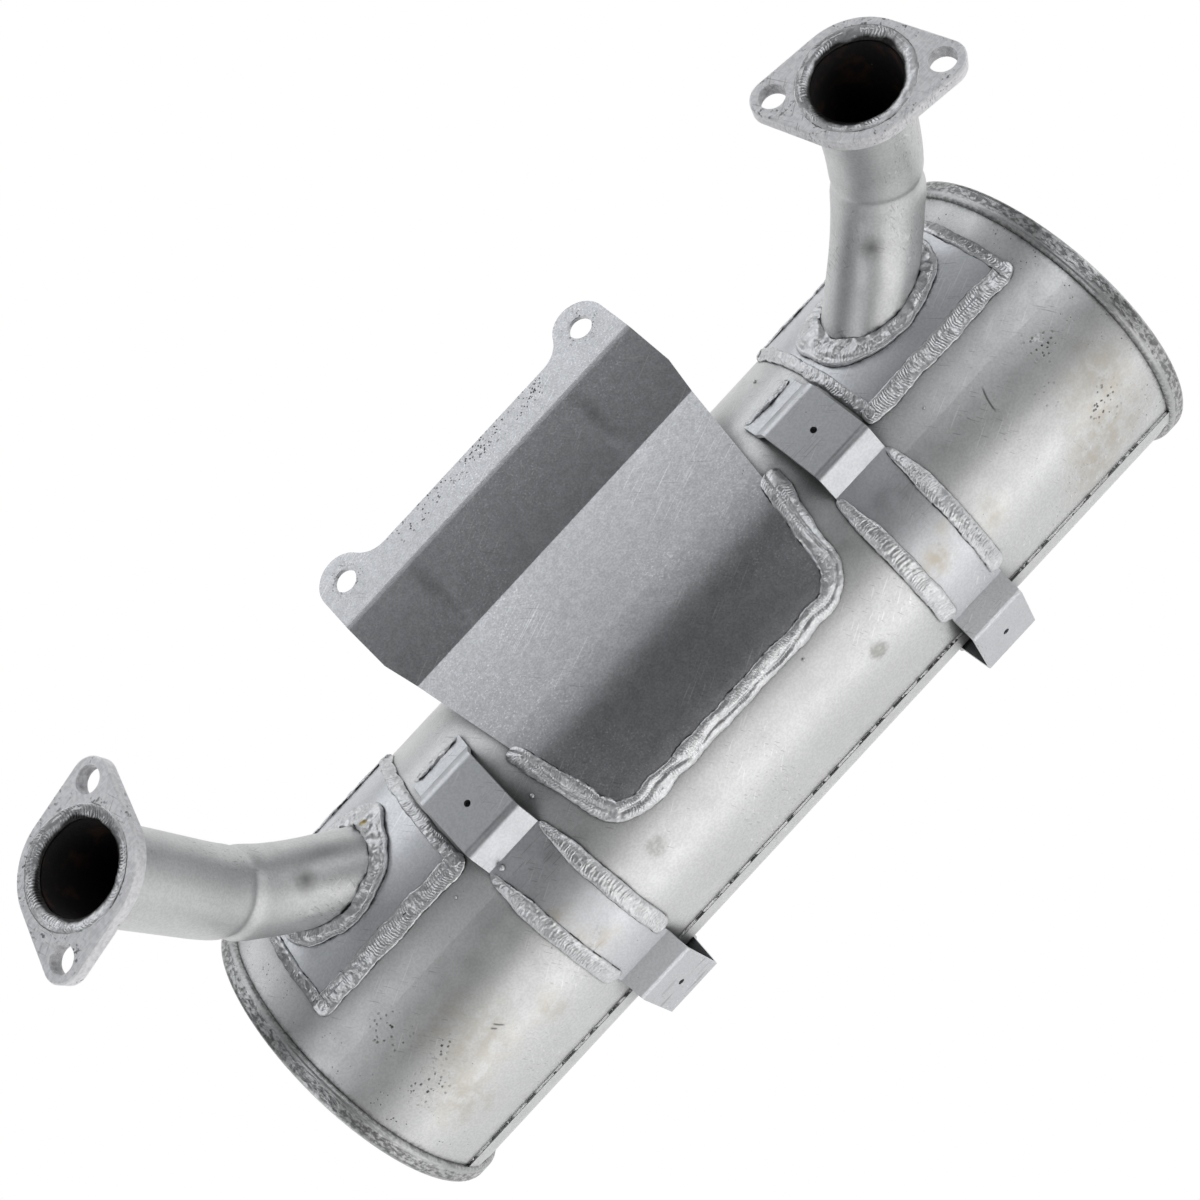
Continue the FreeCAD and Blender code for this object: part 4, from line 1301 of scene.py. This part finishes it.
def reach_skin(point, way, radius_mm):
    """Where a line in the pipe's direction meets a round skin about the can's axis."""
    flat = lay_down.inverted() @ (point - can_middle)
    step = lay_down.inverted() @ way
    a = step.y ** 2 + step.z ** 2
    b = 2.0 * (flat.y * step.y + flat.z * step.z)
    c = flat.y ** 2 + flat.z ** 2 - (radius_mm * MM) ** 2
    return point + way * ((-b + math.sqrt(b * b - 4.0 * a * c)) / (2.0 * a))


def collar_joint(foot, rise, rod_radius, skin_radius, climb, spill, blobs=()):
    """Joint round a pipe. blobs are (degrees round, width in degrees, extra spill)."""
    spots = []
    for degrees, way in ways_round(rise, lay_down @ Vector((1.0, 0.0, 0.0))):
        extra = 0.0
        for place, width, size in blobs:
            gap = (degrees - place + 180.0) % 360.0 - 180.0
            extra += size * math.exp(-(gap / width) ** 2)
        inner = reach_skin(foot + way * (rod_radius - 0.6) * MM, rise, skin_radius)
        inner += rise * (climb + 0.5 * extra) * MM
        outer = reach_skin(foot + way * (rod_radius + spill + extra) * MM, rise, skin_radius)
        skin = lay_down.inverted() @ (outer - can_middle)
        skin_out = (lay_down @ Vector((0.0, skin.y, skin.z))).normalized()
        spots.append((inner, outer, (way + skin_out).normalized()))
    return spots


def collar_crown(across, reach, place):
    """A ridge near the outer edge, a groove, and lumps towards the pipe."""
    top = 2.0 * dome(across, 2.0)
    top += 0.9 * math.exp(-((across - 0.72) / 0.13) ** 2)
    top -= 1.0 * math.exp(-((across - 0.42) / 0.13) ** 2) * (0.6 + 0.9 * luck(place, 9.0, 1))
    inside = min(1.0, max(0.0, 0.7 - across))
    top += inside * (1.9 * luck(place, 5.0, 2) + 1.0 * luck(place, 2.4, 3))
    return max(0.15, top + 0.28 * luck(place, 1.2, 4))


BLOBS = {"right": ((150.0, 26.0, 3.4), (212.0, 18.0, 1.6), (320.0, 16.0, 1.2)),
         "left": ((22.0, 22.0, 3.0), (205.0, 18.0, 1.0))}
for side, route in routes.items():
    joint = collar_joint(route["foot"], -route["ahead"], PIPE_RADIUS, CAN_RADIUS + SADDLE_SHEET,
                         PIPE_CLIMB, PIPE_SPILL, BLOBS[side])
    lay_weld("pipe_bead_" + side, joint, collar_crown, wander=1.5, closed=True)

# %% [markdown]
# The same collar, smaller and neater, goes round the outlet on the hidden side. It stands
# square to the can, so the crown is a plain fillet with ripples.

# %% The outlet's bead
OUTLET_RADIUS = 19.05
OUTLET_ANGLE = 208.0
OUTLET_CLIMB = 3.2
OUTLET_SPILL = 4.2

joint = collar_joint(on_can(0.0, OUTLET_ANGLE), round_way(OUTLET_ANGLE), OUTLET_RADIUS,
                     CAN_RADIUS, OUTLET_CLIMB, OUTLET_SPILL)
lay_weld("outlet_bead", joint, flat_crown(1.2, 0.14, 2.0, 0.25), wander=0.4, closed=True)

# %% [markdown]
# In the flange the weld fills the mouth of the bore and was ground nearly flush. What is
# left is a rough ring that dips towards the pipe's end, with a wavy outer border.

# %% The rings in the flanges
MOUTH_INNER = 18.0
MOUTH_OUTER = 24.0


def mouth_joint(route):
    facing = route["facing"]
    return [(route["end"] + way * MOUTH_INNER * MM, route["face"] + way * MOUTH_OUTER * MM,
             (facing * 0.9 - way * 0.44).normalized())
            for _, way in ways_round(facing, facing.orthogonal())]


def mouth_crown(across, reach, place):
    top = 1.05 * dome(across, 2.2) * (1.0 + 0.2 * luck(place, 9.0, 1))
    top += 0.22 * luck(place, 3.6, 2) + 0.10 * luck(place, 1.4, 3)
    return max(0.05, top * (1.0 - 0.35 * max(0.0, across)))


for side, route in routes.items():
    lay_weld("flange_bead_" + side, mouth_joint(route), mouth_crown, smoked_material,
             wander=0.35, closed=True, sink=0.3)

# %% [markdown]
# The can's lock seam has a fine groove. Paint has bridged it here and there, which breaks
# the dark line up. A thin strip of paint is laid in the groove and sinks out of sight
# wherever chance says so.

# %% Paint in the seam
SEAM_ANGLE = -63.4
SEAM_END = 233.5
SEAM_STEPS = 60


def seam_crown(across, reach, place):
    bridged = luck(place, 5.0, 1) + 0.5 * luck(place, 1.6, 2)
    return 0.25 + 0.1 * luck(place, 1.0, 3) if bridged > -0.12 else -0.75


seam_joint = [(on_can(x, SEAM_ANGLE + 0.10, -0.1), on_can(x, SEAM_ANGLE - 0.60, 0.9),
               round_way(SEAM_ANGLE))
              for x in (-SEAM_END + 2.0 * SEAM_END * step / SEAM_STEPS
                        for step in range(SEAM_STEPS + 1))]
seam_paint = roll_bead("seam_paint", seam_joint, seam_crown, wander=0.05, start=0.5, stop=0.5,
                       sink=1.0)
hand_in(seam_paint, [can_material])

# %% [markdown]
# A few balls of weld spatter sit near the beads. Each is a ball sunk a little way into the
# sheet and dented by chance. They are joined into one piece.

# %% Spatter
SPATTER = ((-86.0, 12.0, 0.0, 1.1), (-116.8, 3.8, 2.0, 1.4), (118.0, 62.0, 0.0, 0.8),
           (36.0, -20.0, 0.0, 0.7), (150.0, 5.0, 0.0, 0.6), (-140.0, 8.0, 0.0, 0.7))
balls = []
for x, angle, height, radius in SPATTER:
    only_select()
    lean = round_way(angle).to_track_quat("Z", "Y").to_euler()
    bpy.ops.mesh.primitive_ico_sphere_add(subdivisions=3, radius=radius * MM, rotation=lean,
                                          location=on_can(x, angle, height + 0.35 * radius))
    bpy.ops.object.transform_apply(location=True, rotation=True, scale=True)
    ball = bpy.context.object
    for vertex in ball.data.vertices:
        vertex.co += vertex.normal * 0.18 * radius * MM * luck(vertex.co, 1.6, 1)
    balls.append(ball)
spatter = join_up(balls, "weld_spatter")
bpy.ops.object.shade_smooth()
hand_in(spatter, [bead_material])

# %% [markdown]
# Last, the CAD model's box is printed. The finished model should agree with it within the
# height of a weld.

# %% The CAD model's box
print("CAD box", [[round(v, 4) for v in corner] for corner in cad_box])
